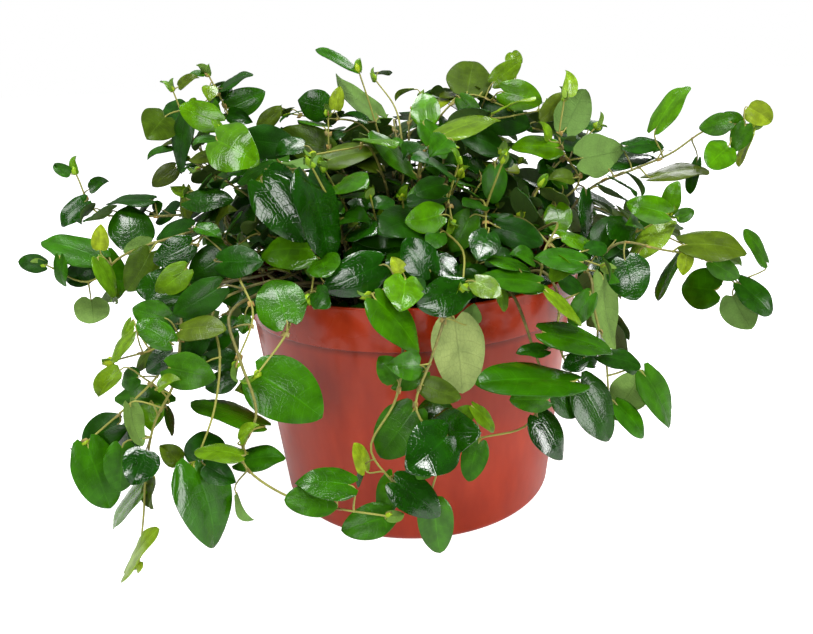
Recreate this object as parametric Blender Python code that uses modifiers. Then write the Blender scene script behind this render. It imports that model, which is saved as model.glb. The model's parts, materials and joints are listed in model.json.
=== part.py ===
# Creeping fig (Ficus pumila) growing in a plastic nursery pot, at rest on its base.
#
# The pot, the potting mix and every leafy stem are separate solids. Each stem is rooted in a
# plain hole in the mix, and its leaves are joined to it by their stalks. Metres, +Z up. The
# origin is the middle of the pot's flat underside, and -Y is the front.

import math
import random
from collections import namedtuple

import bmesh
import bpy
from mathutils import Matrix, Quaternion, Vector
from mathutils.bvhtree import BVHTree
from mathutils.kdtree import KDTree

MM = 0.001

# The pot: a thin moulded cup with a broad band round its rim
POT_HEIGHT = 114 * MM
RIM_RADIUS = 80 * MM
BASE_RADIUS = 66.5 * MM
BAND_HEIGHT = 19 * MM
BAND_STEP = 1.4 * MM
WALL = 1.8 * MM
FOOT_ROUNDING = 4 * MM
POT_SIDES = 32
DRAIN_HOLES = 8
DRAIN_RADIUS = 4.5 * MM
DRAIN_RING = 50 * MM
DRAIN_SIDES = 6

# The potting mix: a plug that fills the pot, with a hole for the foot of each stem
GAP = 0.3 * MM
MIX_TOP = 101 * MM
MIX_SIDES = 24
HOLE_DEPTH = 9 * MM
HOLE_RADIUS = 2.2 * MM
HOLE_SIDES = 4
ROOTED_RADIUS = 57 * MM
GOLDEN_ANGLE = math.radians(137.508)
PLACES_FOR_ROOTS = 62

# The stems: thin, wiry and tapering
STEM_RADIUS = 1.25 * MM
STEM_TIP_RADIUS = 0.95 * MM
STEM_SEGMENT = 19.5 * MM
STEM_FINE_STEP = 3.5 * MM
STEM_CLEARANCE = 6.4 * MM
STEM_MARGIN = 0.7 * MM
STEM_TWISTS = 8
STEM_TO_POT = 4 * MM
FLOOR_CLEARANCE = 4 * MM
UPRIGHT_FOOT = 5 * MM
OVER_RIM = 9 * MM
STEM_SWAY = 5 * MM
SPREADING_ROUNDS = 30
SPREADING_PUSH = 1.6

# The leaves: heart-shaped blades, each on a stalk that runs back into the stem
BLADE_THICKNESS = 0.75 * MM
STALK_WIDTH = 0.95 * MM
STALK_LENGTH = 6 * MM
SHORTEST_STALK = 3 * MM
STALK_FOOT_SIZE = 0.6
ELBOW_SIZE = 0.85
SHARP_TURN = math.radians(60)
ELBOW = 1.8 * MM
LEAF_BREADTH = 0.80
BROADEST_LEAF = 0.96
LARGE_LEAF = 27 * MM
LEAST_LEAF = 9.5 * MM
LEAF_CLEARANCE = 0.5 * MM
OWN_LEAF_CLEARANCE = 0.1 * MM

# How a leaf that looks too broad or too slim in the picture is turned: it is seen foreshortened
# if it is broader than it is long, and from the side if it is slimmer than a leaf grows
BROADEST_SHOWN = 0.86
MOST_FORESHORTENING = 1.45
LEAST_LEAN = 0.12
SLIMMEST_SHOWN = 0.60
TURNED_BREADTH = 0.72
MOST_TURN = math.radians(72)

# Half the outline of a leaf, from the stalk to the tip: across as a share of the breadth, along
# as a share of the length, and height over the line from stalk to tip as a share of the length
LARGE_OUTLINE = ((0.31, -0.06, 0.0), (0.50, 0.27, 0.01), (0.37, 0.76, 0.02))
SMALL_OUTLINE = ((0.42, 0.04, 0.0), (0.42, 0.62, 0.02))
BLADE_MIDDLE = (0.0, 0.42, 0.07)

# How far a leaf may be moved back in millimetres, and turned about its midrib in degrees, to
# find room for it
SHIFTS = (0, 2, -2, 4, -4, 6, 8, -6, 10, -8, 12, -10, 14, 16, -12, 18)
SWINGS = (0, 14, -14, 28, -28, 42, -42)

# Where the plant is looked at from, which turns a place in that picture into a real one
PICTURE_MIDDLE = (406.5, 317)
PICTURE_FOCAL = 778
EYE_DISTANCE = 385 * MM
EYE_ELEVATION = math.radians(18.6)
EYE_ROLL = math.radians(-2.3)
EYE_TARGET = Vector((-2.8 * MM, 0, 84 * MM))

LOOK = Vector((0, math.cos(EYE_ELEVATION), -math.sin(EYE_ELEVATION)))
EYE = EYE_TARGET - LOOK * EYE_DISTANCE
LEVEL_RIGHT = Vector((1, 0, 0))
LEVEL_UP = LEVEL_RIGHT.cross(LOOK)
PICTURE_RIGHT = LEVEL_RIGHT * math.cos(EYE_ROLL) + LEVEL_UP * math.sin(EYE_ROLL)
PICTURE_UP = LEVEL_UP * math.cos(EYE_ROLL) - LEVEL_RIGHT * math.sin(EYE_ROLL)

# The vines of the front, as they are seen. A stem is a row of picture points, each with its
# depth behind the pot's axis in millimetres. A leaf is the picture points of its stalk end and
# its tip, its breadth in the picture, and the depth of its stalk end.
SEEN_VINES = {
    "vine_left_trailing": (
        ((186, 300, -80), (182, 330, -92), (182, 355, -102), (168, 400, -106), (148, 440, -109),
         (146, 500, -111), (141, 532, -112), (139, 562, -113)),
        ((182, 330, 225, 330, 24, -95), (170, 368, 214, 378, 36, -106), (158, 388, 180, 380, 12, -110),
         (130, 406, 142, 445, 18, -107), (150, 405, 151, 430, 26, -103), (167, 410, 172, 435, 8, -104),
         (122, 447, 120, 490, 32, -114), (146, 450, 132, 484, 34, -115), (148, 482, 113, 527, 13, -112),
         (155, 478, 153, 508, 9, -108), (127, 571, 157, 530, 12, -114)),
    ),
    "vine_far_left_trailing": (
        ((192, 302, -74), (170, 350, -92), (148, 382, -100), (122, 412, -107), (106, 428, -110),
         (88, 441, -111)),
        ((84, 443, 106, 503, 42, -112), (118, 424, 82, 440, 32, -107), (120, 370, 98, 396, 18, -102),
         (165, 404, 116, 396, 28, -100)),
    ),
    "vine_front_left_trailing": (
        ((246, 300, -84), (238, 335, -98), (243, 370, -108), (257, 412, -113), (241, 440, -115),
         (240, 456, -116), (265, 487, -117), (285, 493, -118), (310, 501, -118), (335, 508, -119),
         (375, 514, -119), (386, 516, -118)),
        ((262, 425, 193, 404, 20, -112), (240, 441, 258, 425, 12, -116), (242, 456, 196, 452, 17, -119),
         (240, 462, 284, 458, 24, -119), (236, 494, 252, 520, 9, -116), (349, 485, 297, 482, 30, -117),
         (333, 500, 286, 500, 32, -122), (388, 516, 343, 530, 33, -118)),
    ),
    "vine_left_dark_trailing": (
        ((216, 292, -80), (222, 345, -98), (217, 395, -110), (207, 438, -117), (196, 462, -119)),
        ((194, 468, 214, 545, 50, -124), (205, 462, 208, 431, 48, -117), (205, 465, 235, 482, 24, -119),
         (180, 462, 160, 446, 20, -116)),
    ),
    "vine_front_left_large": (
        ((300, 297, -78), (288, 330, -92), (272, 358, -102), (258, 372, -105)),
        ((257, 374, 320, 416, 60, -105), (287, 321, 272, 281, 48, -86), (251, 385, 236, 390, 20, -100)),
    ),
    "vine_front_left_rim": (
        ((236, 272, -70), (247, 295, -84), (240, 330, -94), (234, 360, -99)),
        ((218, 288, 174, 314, 32, -82), (258, 292, 222, 300, 22, -78), (235, 360, 202, 358, 22, -95),
         (232, 378, 206, 388, 22, -97), (245, 315, 243, 334, 14, -92)),
    ),
    "vine_left_glossy": (
        ((212, 290, -66), (192, 322, -84), (172, 345, -92), (150, 352, -94), (130, 356, -95),
         (113, 361, -96)),
        ((165, 318, 133, 308, 28, -88), (170, 342, 138, 322, 26, -94), (133, 333, 113, 361, 11, -97),
         (131, 322, 122, 342, 10, -94), (172, 352, 148, 372, 24, -98)),
    ),
    "vine_left_arm": (
        ((205, 226, -40), (180, 235, -48), (150, 245, -52), (128, 255, -54), (98, 260, -56),
         (92, 277, -57), (78, 288, -58), (62, 280, -58), (46, 265, -57)),
        ((97, 258, 43, 242, 27, -54), (100, 250, 101, 225, 16, -56), (98, 260, 113, 297, 16, -60),
         (107, 256, 119, 297, 24, -54), (46, 262, 21, 259, 18, -58), (92, 266, 68, 282, 24, -52),
         (60, 258, 64, 286, 12, -60), (91, 300, 93, 323, 31, -58), (150, 252, 128, 290, 30, -58),
         (150, 243, 124, 252, 18, -48)),
    ),
    "vine_left_shoulder": (
        ((222, 222, -42), (200, 242, -56), (186, 268, -66)),
        ((185, 270, 157, 292, 26, -70), (190, 245, 155, 262, 28, -63)),
    ),
    "vine_left_arm_upper": (
        ((215, 205, -5), (180, 215, -12), (140, 216, -16), (100, 214, -18), (85, 200, -19),
         (79, 184, -20), (76, 174, -20)),
        ((76, 172, 59, 163, 12, -20), (85, 191, 104, 183, 12, -18), (85, 202, 61, 225, 18, -22),
         (133, 243, 130, 206, 42, -28), (150, 200, 107, 204, 6, -14)),
    ),
    "vine_upper_left": (
        ((250, 170, 2), (235, 150, 1), (230, 118, 0), (218, 98, 0), (210, 86, 0), (209, 76, 0)),
        ((209, 72, 192, 76, 5, 0), (210, 86, 209, 101, 15, -4), (217, 91, 246, 76, 8, 2),
         (229, 108, 264, 92, 26, 3), (206, 105, 223, 120, 21, -6), (228, 114, 252, 122, 16, -6),
         (262, 125, 281, 107, 16, 2)),
    ),
    "vine_left_sprig": (
        ((225, 185, -12), (200, 160, -12), (190, 130, -11), (181, 102, -10), (173, 91, -10)),
        ((173, 89, 193, 80, 9, -10), (192, 108, 197, 100, 12, -12), (165, 117, 148, 138, 34, -14),
         (185, 118, 182, 172, 17, -20), (174, 149, 148, 159, 5, -14), (175, 168, 153, 186, 18, -16)),
    ),
    "vine_left_bright": (
        ((258, 175, -25), (240, 150, -34), (222, 130, -37)),
        ((217, 122, 180, 106, 28, -34), (218, 141, 257, 163, 48, -45), (250, 140, 298, 147, 32, -34)),
    ),
    "vine_glossy_pair": (
        ((300, 178, -35), (285, 172, -50), (268, 176, -58)),
        ((262, 182, 304, 239, 46, -68), (268, 170, 296, 188, 24, -56), (308, 178, 326, 261, 40, -62)),
    ),
    "vine_left_low_bright": (
        ((268, 234, -34), (250, 248, -50), (228, 259, -59)),
        ((196, 227, 221, 238, 14, -50), (225, 255, 190, 278, 34, -62), (222, 262, 262, 262, 32, -66)),
    ),
    "vine_left_inner": (
        ((232, 202, -20), (208, 194, -32), (189, 192, -38)),
        ((186, 190, 186, 225, 12, -40), (190, 200, 232, 200, 22, -46)),
    ),
    "vine_top_left": (
        ((370, 175, 5), (378, 150, 8), (386, 130, 10), (372, 112, 11), (358, 86, 12), (359, 72, 12)),
        ((359, 68, 322, 48, 6, 12), (376, 114, 336, 77, 18, 10), (343, 133, 327, 141, 8, 8),
         (368, 122, 342, 116, 6, 8)),
    ),
    "vine_top_left_low": (
        ((345, 185, -5), (333, 165, -3), (328, 140, 0), (328, 116, 2)),
        ((330, 108, 302, 100, 30, 2), (335, 110, 340, 87, 14, 0), (327, 150, 283, 132, 34, -5),
         (330, 160, 378, 152, 20, -6), (322, 160, 278, 163, 9, -8)),
    ),
    "vine_top": (
        ((430, 185, 0), (432, 150, 4), (438, 118, 6), (455, 98, 7), (470, 95, 8), (490, 103, 9),
         (508, 108, 10)),
        ((426, 122, 424, 94, 28, 0), (424, 125, 445, 158, 22, -4), (468, 93, 474, 64, 44, 10),
         (494, 82, 520, 62, 20, 12), (516, 66, 512, 52, 16, 12), (504, 92, 541, 102, 28, 6),
         (521, 97, 515, 112, 10, 2), (460, 98, 480, 120, 18, 0), (484, 112, 529, 127, 34, 4)),
    ),
    "vine_top_low": (
        ((470, 200, -15), (485, 175, -16), (500, 155, -12)),
        ((500, 150, 460, 135, 24, -10), (508, 168, 503, 155, 14, -14), (495, 168, 494, 203, 24, -26)),
    ),
    "vine_right_top": (
        ((540, 225, -20), (553, 205, -22), (568, 198, -20), (580, 185, -17), (575, 165, -15),
         (560, 145, -14), (557, 128, -13), (564, 101, -12)),
        ((569, 97, 567, 71, 14, -12), (566, 128, 585, 91, 34, -10), (582, 158, 621, 150, 42, -18),
         (575, 178, 620, 152, 13, -10), (573, 178, 548, 180, 14, -22), (549, 140, 539, 122, 8, -14),
         (556, 148, 513, 148, 20, -16), (566, 99, 540, 120, 22, -6), (556, 207, 562, 234, 26, -33),
         (586, 195, 586, 236, 14, -26)),
    ),
    "vine_right_arm_upper": (
        ((580, 200, -15), (605, 178, -12), (650, 165, -10), (680, 147, -10), (697, 135, -10),
         (730, 121, -10), (750, 127, -10)),
        ((627, 146, 663, 146, 15, -6), (605, 162, 655, 158, 18, -12), (657, 127, 687, 86, 20, -6),
         (729, 122, 700, 128, 21, -14), (728, 147, 708, 166, 30, -16), (742, 124, 723, 114, 13, -6),
         (745, 126, 734, 151, 20, -12), (748, 107, 771, 122, 22, -10), (752, 129, 739, 161, 8, -12),
         (652, 178, 707, 170, 14, -14), (697, 162, 690, 193, 12, -14)),
    ),
    "vine_right_arm_lower": (
        ((570, 270, -35), (590, 262, -42), (605, 250, -44), (620, 242, -45), (637, 254, -46),
         (660, 250, -46), (683, 247, -46), (700, 257, -46), (716, 268, -46), (736, 284, -46)),
        ((640, 252, 675, 222, 24, -44), (625, 260, 636, 299, 40, -50), (687, 245, 745, 253, 28, -44),
         (766, 262, 744, 231, 13, -46), (687, 253, 683, 275, 15, -52), (715, 290, 682, 285, 40, -48),
         (712, 262, 738, 278, 20, -52), (733, 296, 751, 328, 34, -46), (740, 284, 771, 313, 24, -52),
         (680, 255, 658, 299, 11, -42)),
    ),
    "vine_right_bright": (
        ((612, 240, -22), (640, 230, -32), (666, 217, -38)),
        ((668, 215, 630, 205, 26, -38), (668, 212, 677, 182, 18, -36), (676, 218, 694, 211, 14, -38)),
    ),
    "vine_right_trailing": (
        ((586, 262, -56), (592, 290, -68), (596, 320, -78), (601, 345, -84), (608, 365, -86),
         (611, 385, -87), (609, 405, -88)),
        ((603, 278, 613, 347, 26, -65), (597, 258, 598, 292, 18, -60), (600, 356, 640, 366, 18, -86),
         (622, 403, 642, 371, 36, -84), (617, 405, 642, 437, 20, -88), (645, 376, 669, 426, 24, -80)),
    ),
    "vine_front_right_dark": (
        ((560, 285, -70), (555, 320, -84), (560, 348, -90), (571, 370, -92), (576, 384, -93)),
        ((545, 333, 611, 352, 25, -90), (575, 386, 603, 441, 38, -93), (570, 382, 479, 383, 33, -98),
         (545, 350, 517, 353, 14, -92), (583, 358, 563, 368, 20, -96), (590, 295, 571, 326, 22, -80),
         (548, 293, 580, 325, 8, -86)),
    ),
    "vine_front_right_low": (
        ((526, 325, -86), (537, 370, -94), (546, 398, -96), (536, 420, -98), (505, 433, -100),
         (480, 438, -102)),
        ((547, 400, 511, 400, 24, -97), (533, 415, 557, 457, 30, -99), (478, 440, 468, 477, 25, -104),
         (474, 408, 494, 431, 14, -105)),
    ),
    "vine_front_right_rim": (
        ((548, 225, -40), (549, 250, -60), (547, 270, -70), (538, 284, -76), (520, 289, -79),
         (500, 288, -80), (483, 284, -81)),
        ((538, 283, 480, 281, 22, -78), (550, 268, 575, 270, 26, -72), (580, 262, 535, 257, 22, -66),
         (500, 290, 505, 311, 11, -84), (480, 283, 447, 285, 28, -82), (462, 290, 418, 305, 38, -86)),
    ),
    "vine_middle_glossy": (
        ((470, 195, -25), (488, 212, -45), (486, 230, -58)),
        ((488, 233, 478, 260, 30, -68), (470, 217, 451, 251, 30, -60), (500, 228, 542, 243, 28, -50)),
    ),
    "vine_middle_left": (
        ((440, 190, -28), (446, 205, -46), (450, 222, -56)),
        ((440, 215, 406, 222, 30, -64), (452, 228, 451, 196, 23, -48)),
    ),
    "vine_middle_rim": (
        ((424, 235, -46), (430, 256, -64), (428, 272, -72), (408, 282, -79), (390, 288, -83),
         (378, 298, -87)),
        ((430, 270, 405, 240, 34, -72), (405, 280, 400, 310, 38, -84), (405, 279, 394, 264, 14, -80),
         (380, 265, 324, 290, 40, -76), (376, 300, 417, 351, 34, -90)),
    ),
    "vine_middle_trailing": (
        ((440, 300, -84), (446, 322, -92), (434, 347, -97), (428, 370, -101), (414, 400, -106),
         (425, 423, -108), (440, 433, -109), (437, 465, -111), (430, 496, -112)),
        ((455, 320, 462, 391, 50, -92), (470, 322, 474, 304, 20, -88), (420, 365, 388, 365, 28, -98),
         (423, 385, 460, 398, 24, -102), (413, 411, 381, 456, 45, -107), (436, 428, 432, 398, 38, -103),
         (458, 420, 474, 408, 18, -106), (437, 432, 479, 433, 44, -107), (447, 436, 408, 470, 52, -112),
         (430, 500, 436, 549, 34, -111)),
    ),
    "vine_middle_left_trailing": (
        ((396, 322, -92), (405, 355, -99), (402, 385, -104), (386, 420, -107), (368, 455, -109),
         (372, 476, -110), (394, 484, -112)),
        ((398, 380, 380, 357, 26, -103), (423, 372, 392, 388, 20, -101), (365, 470, 354, 444, 16, -109),
         (362, 470, 358, 487, 6, -110), (393, 478, 383, 514, 24, -112), (395, 482, 438, 515, 36, -114)),
    ),
}

# The vines that fill the crown, the sides and the back: azimuth in degrees from the front
# towards the right, then how far out and how high the stem arches, and where it ends
FILLING_VINES = {
    "vine_back_trailing_1": (112, 96, 128, 116, 44),
    "vine_back_trailing_2": (146, 98, 130, 118, 30),
    "vine_back_trailing_3": (178, 96, 128, 116, 52),
    "vine_back_trailing_4": (212, 98, 130, 118, 26),
    "vine_back_trailing_5": (246, 96, 128, 116, 48),
    "vine_back_arm_1": (96, 80, 136, 152, 104),
    "vine_back_arm_2": (128, 84, 142, 146, 92),
    "vine_back_arm_3": (160, 84, 140, 150, 108),
    "vine_back_arm_4": (194, 84, 142, 148, 94),
    "vine_back_arm_5": (228, 84, 142, 150, 106),
    "vine_back_arm_6": (264, 80, 136, 150, 96),
    "vine_back_upper_1": (118, 52, 172, 112, 158),
    "vine_back_upper_2": (152, 56, 168, 116, 144),
    "vine_back_upper_3": (186, 52, 174, 112, 160),
    "vine_back_upper_4": (220, 56, 168, 116, 146),
    "vine_back_upper_5": (250, 52, 170, 112, 156),
    "vine_crown_1": (20, 26, 172, 56, 172),
    "vine_crown_2": (95, 24, 176, 62, 180),
    "vine_crown_3": (170, 20, 182, 58, 186),
    "vine_crown_4": (245, 24, 178, 62, 182),
    "vine_crown_5": (320, 26, 170, 58, 170),
    "vine_crown_6": (210, 6, 178, 26, 196),
    "vine_front_fill_1": (335, 56, 138, 92, 122),
    "vine_front_fill_2": (12, 54, 140, 90, 126),
    "vine_front_fill_3": (50, 58, 140, 98, 122),
}
FILLING_SEED = 11
FILLING_SPACING = 21 * MM
FILLING_LEAF = 27 * MM
FILLING_TIP_LEAF = 13 * MM
FILLING_BARE = 38 * MM
FILLING_TAPER = 0.55
FILLING_TRIES = 14
DOME_MIDDLE = Vector((0, 0, 70 * MM))

Leaf = namedtuple("Leaf", "base along face length breadth foot")
Vine = namedtuple("Vine", "name stem leaves")


def seen(px, py, depth):
    """The place seen at a picture point, depth behind the pot's axis."""
    across = (px - PICTURE_MIDDLE[0]) / PICTURE_FOCAL
    up = (PICTURE_MIDDLE[1] - py) / PICTURE_FOCAL
    ray = LOOK + PICTURE_RIGHT * across + PICTURE_UP * up
    return EYE + ray * ((depth - EYE.y) / ray.y)


def square_part(vector, axis):
    return vector - axis * vector.dot(axis)


def square_to(vector, axis):
    return square_part(vector, axis).normalized()


def turned(vector, axis, angle):
    return Quaternion(axis, angle) @ vector


# Stems

def smooth_path(points, step):
    """A smooth curve through the points, as points a step apart."""
    ends = [points[0] * 2 - points[1], *points, points[-1] * 2 - points[-2]]
    fine = [points[0]]
    for before, start, end, after in zip(ends, ends[1:], ends[2:], ends[3:]):
        for part in range(1, 13):
            t = part / 12
            fine.append(
                0.5 * (2 * start + (end - before) * t
                       + (2 * before - 5 * start + 4 * end - after) * t ** 2
                       + (3 * start - before - 3 * end + after) * t ** 3)
            )
    total = sum((b - a).length for a, b in zip(fine, fine[1:]))
    pieces = max(2, round(total / step))
    path, walked, wanted = [fine[0]], 0.0, total / pieces
    for a, b in zip(fine, fine[1:]):
        run = (b - a).length
        while len(path) < pieces and walked + run >= wanted * len(path):
            path.append(a.lerp(b, (wanted * len(path) - walked) / run))
        walked += run
    path.append(fine[-1])
    return path


def root_places():
    """Evenly spread places for roots, as the seeds in a sunflower are."""
    places = []
    for k in range(PLACES_FOR_ROOTS):
        out = ROOTED_RADIUS * math.sqrt((k + 0.5) / PLACES_FOR_ROOTS)
        places.append(Vector((out * math.cos(k * GOLDEN_ANGLE), out * math.sin(k * GOLDEN_ANGLE), 0)))
    return places


def take_root(wanted, places):
    nearest = min(places, key=lambda place: (place - wanted).length)
    places.remove(nearest)
    return nearest


def climb(root, first):
    """Control points from the foot of a stem, up out of the mix and over the rim if it must."""
    foot = root + Vector((0, 0, MIX_TOP - HOLE_DEPTH + GAP))
    collar = root + Vector((0, 0, MIX_TOP + UPRIGHT_FOOT))
    points = [foot, collar]
    out = Vector((first.x, first.y, 0))
    if out.length > RIM_RADIUS:
        over = out.normalized() * (RIM_RADIUS + 1 * MM)
        height = max(POT_HEIGHT + OVER_RIM, collar.lerp(first, 0.55).z)
        points.append(Vector((over.x, over.y, height)))
    return points


def filling_path(azimuth, arch_out, arch_height, end_out, end_height):
    """Control points of a stem that rises, arches over and hangs, with a slight sway."""
    turn = math.radians(azimuth)
    outward = Vector((math.sin(turn), -math.cos(turn), 0))
    sideways = Vector((-outward.y, outward.x, 0))
    sway = STEM_SWAY * (1 if azimuth % 4 < 2 else -1)
    arch = outward * (arch_out * MM) + Vector((0, 0, arch_height * MM))
    end = outward * (end_out * MM) + Vector((0, 0, end_height * MM))
    rise = arch.lerp(Vector((0, 0, MIX_TOP)), 0.45) + Vector((0, 0, OVER_RIM))
    swell = arch.lerp(end, 0.5) + outward * STEM_SWAY + sideways * sway
    return [rise, arch, swell, end]


def keep_out(point):
    """Moves a stem's point out of the pot, its mix and the floor."""
    out = math.hypot(point.x, point.y)
    wall = BASE_RADIUS + (RIM_RADIUS - BASE_RADIUS) * min(1, max(0, point.z / POT_HEIGHT))
    if out > wall:
        if point.z < POT_HEIGHT + STEM_TO_POT and out < wall + STEM_TO_POT:
            point.x *= (wall + STEM_TO_POT) / out
            point.y *= (wall + STEM_TO_POT) / out
    elif out > RIM_RADIUS - 3 * STEM_TO_POT:
        point.z = max(point.z, POT_HEIGHT + STEM_TO_POT)
    else:
        point.z = max(point.z, MIX_TOP + STEM_TO_POT)
    point.z = max(point.z, FLOOR_CLEARANCE)


def spread_stems(paths):
    """Moves stems apart where they pass too close, and leaves the stretch in the mix alone."""
    rooted = math.ceil((HOLE_DEPTH + UPRIGHT_FOOT) / STEM_FINE_STEP) + 1
    for _ in range(SPREADING_ROUNDS):
        tree = KDTree(sum(len(path) for path in paths))
        owners = []
        for owner, path in enumerate(paths):
            for place in path:
                tree.insert(place, len(owners))
                owners.append(owner)
        tree.balance()
        for owner, path in enumerate(paths):
            pushes = []
            for place in path:
                push = Vector()
                for other, index, distance in tree.find_range(place, STEM_CLEARANCE):
                    if owners[index] != owner and distance > 0:
                        push += (place - other) * (0.5 * (STEM_CLEARANCE - distance) / distance)
                pushes.append(push)
            for k in range(rooted, len(path)):
                near = pushes[max(0, k - 2):k + 3]
                path[k] = path[k] + sum(near, Vector()) * (SPREADING_PUSH / len(near))
                keep_out(path[k])


def stem_routes():
    """The route of every stem, as points a segment apart, by vine."""
    places = root_places()
    controls = {}
    for name, (stem, _) in SEEN_VINES.items():
        controls[name] = [seen(x, y, depth * MM) for x, y, depth in stem]
    for name, sizes in FILLING_VINES.items():
        controls[name] = filling_path(*sizes)
    paths = {}
    for name in sorted(controls, key=lambda name: -Vector(controls[name][-1].xy).length):
        points = controls[name]
        middle = Vector((points[0].x, points[0].y, 0))
        reach = min(ROOTED_RADIUS, Vector(points[-1].xy).length * 0.5)
        root = take_root(middle.normalized() * reach, places)
        paths[name] = smooth_path(climb(root, points[0]) + points, STEM_FINE_STEP)
    spread_stems(list(paths.values()))
    return {name: thinned(path) for name, path in paths.items()}


def thinned(path):
    """The path with its points about a segment apart, and its foot upright in its hole."""
    rooted = math.ceil(HOLE_DEPTH / STEM_FINE_STEP)
    top = Vector((path[0].x, path[0].y, MIX_TOP + 2 * MM))
    rest = smooth_path([top] + path[rooted + 1::2] + ([path[-1]] if (len(path) - rooted) % 2 else []),
                       STEM_SEGMENT)
    return [path[0].copy()] + rest


# Leaves

def pictured_leaf(base_x, base_y, tip_x, tip_y, breadth, depth, back=0.0, tilt=0.0):
    """(stalk end, direction, face, length, breadth) of a leaf as it is seen."""
    base = seen(base_x, base_y, depth * MM + back)
    to_metres = (base - EYE).dot(LOOK) / PICTURE_FOCAL
    flat_length = math.hypot(tip_x - base_x, tip_y - base_y) * to_metres
    flat_breadth = breadth * to_metres
    length = min(max(flat_length, flat_breadth / BROADEST_SHOWN), flat_length * MOST_FORESHORTENING)
    lean = math.sqrt(max(0.0, length ** 2 - flat_length ** 2)) + LEAST_LEAN * length
    toward = -1 if tip_y > base_y - 4 else 1
    tip = seen(tip_x, tip_y, depth * MM + back + toward * lean)
    length = (tip - base).length
    along = (tip - base).normalized()
    face = square_to(EYE - base, along)
    if flat_breadth < SLIMMEST_SHOWN * length:
        full = TURNED_BREADTH * length
        turn = min(MOST_TURN, math.acos(min(1, flat_breadth / full)))
        face = max(turned(face, along, turn), turned(face, along, -turn), key=lambda way: way.z)
        flat_breadth = full
    return base, along, turned(face, along, tilt), length, min(flat_breadth, BROADEST_LEAF * length)


def nearest_on(route, place):
    """The point of a route nearest to a place, past its rooted foot, and how the route runs there."""
    spots = []
    for a, b in zip(route[1:], route[2:]):
        span = b - a
        share = min(0.93, max(0.07, (place - a).dot(span) / span.length_squared))
        spots.append((a + span * share, span.normalized()))
    return min(spots, key=lambda spot: (place - spot[0]).length)


def leaf_sections(leaf, outline, swell=0.0):
    """The rim of a blade from one side of its stalk round to the other, and its middle."""
    across = leaf.along.cross(leaf.face)
    half = STALK_WIDTH / 2 / leaf.breadth
    right = [(half, 0.0, 0.0), *outline]
    left = [(-x, y, z) for x, y, z in reversed(right)]
    wide, long = leaf.breadth + 2 * swell, leaf.length + 2 * swell

    def place(x, y, z):
        return leaf.base + across * (x * wide) + leaf.along * (y * long) + leaf.face * (z * leaf.length)

    rim = [place(*point) for point in right + [(0.0, 1.0, 0.0)] + left]
    return rim, place(*BLADE_MIDDLE)


def stalk_sections(leaf, swell=0.0):
    """The three corners of each section of a stalk: an elbow if it turns sharply, and its foot."""
    across = leaf.along.cross(leaf.face)
    start = leaf.base
    stops = [(leaf.foot, STALK_FOOT_SIZE)]
    if leaf.along.angle(leaf.base - leaf.foot) > SHARP_TURN:
        side = 1 if (leaf.foot - leaf.base).dot(leaf.face) > 0 else -1
        elbow = leaf.base - leaf.along * ELBOW + leaf.face * (side * 0.6 * ELBOW)
        stops.insert(0, (elbow, ELBOW_SIZE))
    sections = []
    for k, (stop, size) in enumerate(stops):
        run = (start - stop).normalized()
        if k + 1 < len(stops):
            run = (run + (stop - stops[k + 1][0]).normalized()).normalized()
        bend = leaf.along.rotation_difference(run)
        side = bend @ across * (size * STALK_WIDTH / 2 + swell)
        up = bend @ leaf.face * (size * BLADE_THICKNESS / 2 + swell)
        sections.append([stop + side + up, stop - side + up, stop - up])
        start = stop
    return sections


def outline_of(leaf):
    return LARGE_OUTLINE if leaf.length > LARGE_LEAF else SMALL_OUTLINE


def leaf_solid(leaf, swell=0.0, stalk=True):
    """The corners and faces of a blade and its three-sided stalk as one closed shape.

    The upper face has two corners at the stalk, and the lower face one."""
    rim, middle = leaf_sections(leaf, outline_of(leaf), swell)
    up = leaf.face * (BLADE_THICKNESS / 2 + swell)
    last = len(rim) - 1
    top_middle, low, low_middle = len(rim), len(rim) + 1, 2 * len(rim)
    lower = [leaf.base] + rim[1:last]
    corners = [p + up for p in rim] + [middle + up] + [p - up for p in lower] + [middle - up]
    faces = [(last, 0, top_middle)]
    for k in range(last):
        under, under_after = low + k, low + (k + 1) % last
        faces.append((k, k + 1, top_middle))
        faces.append((under_after, under, low_middle))
        faces.append((k, under, under_after))
        faces.append((k, under_after, k + 1))
    if not stalk:
        return corners, faces + [(last, low, 0)]
    root = (0, last, low)
    for section in stalk_sections(leaf, swell):
        end = (len(corners), len(corners) + 1, len(corners) + 2)
        corners += section
        for k in range(3):
            after = (k + 1) % 3
            faces.append((root[k], root[after], end[after]))
            faces.append((root[k], end[after], end[k]))
        root = end
    return corners, faces + [root]


# Room: what each new leaf has to keep clear of

class Room:
    """The shapes placed so far, each with its box, its tree and the vine that it is on."""

    def __init__(self):
        self.taken = []

    def add(self, corners, faces, vine):
        low = Vector([min(c[k] for c in corners) for k in range(3)])
        high = Vector([max(c[k] for c in corners) for k in range(3)])
        self.taken.append((low, high, BVHTree.FromPolygons(corners, faces), vine))

    def is_free(self, corners, faces, vine, same_vine):
        """Whether a shape misses those of the same vine, or those of the others."""
        low = Vector([min(c[k] for c in corners) for k in range(3)])
        high = Vector([max(c[k] for c in corners) for k in range(3)])
        if low.z < FLOOR_CLEARANCE:
            return False
        tree = None
        for its_low, its_high, its_tree, its_vine in self.taken:
            if (its_vine == vine) != same_vine:
                continue
            if any(its_low[k] > high[k] or low[k] > its_high[k] for k in range(3)):
                continue
            tree = tree or BVHTree.FromPolygons(corners, faces)
            if tree.overlap(its_tree):
                return False
        return True


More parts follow.
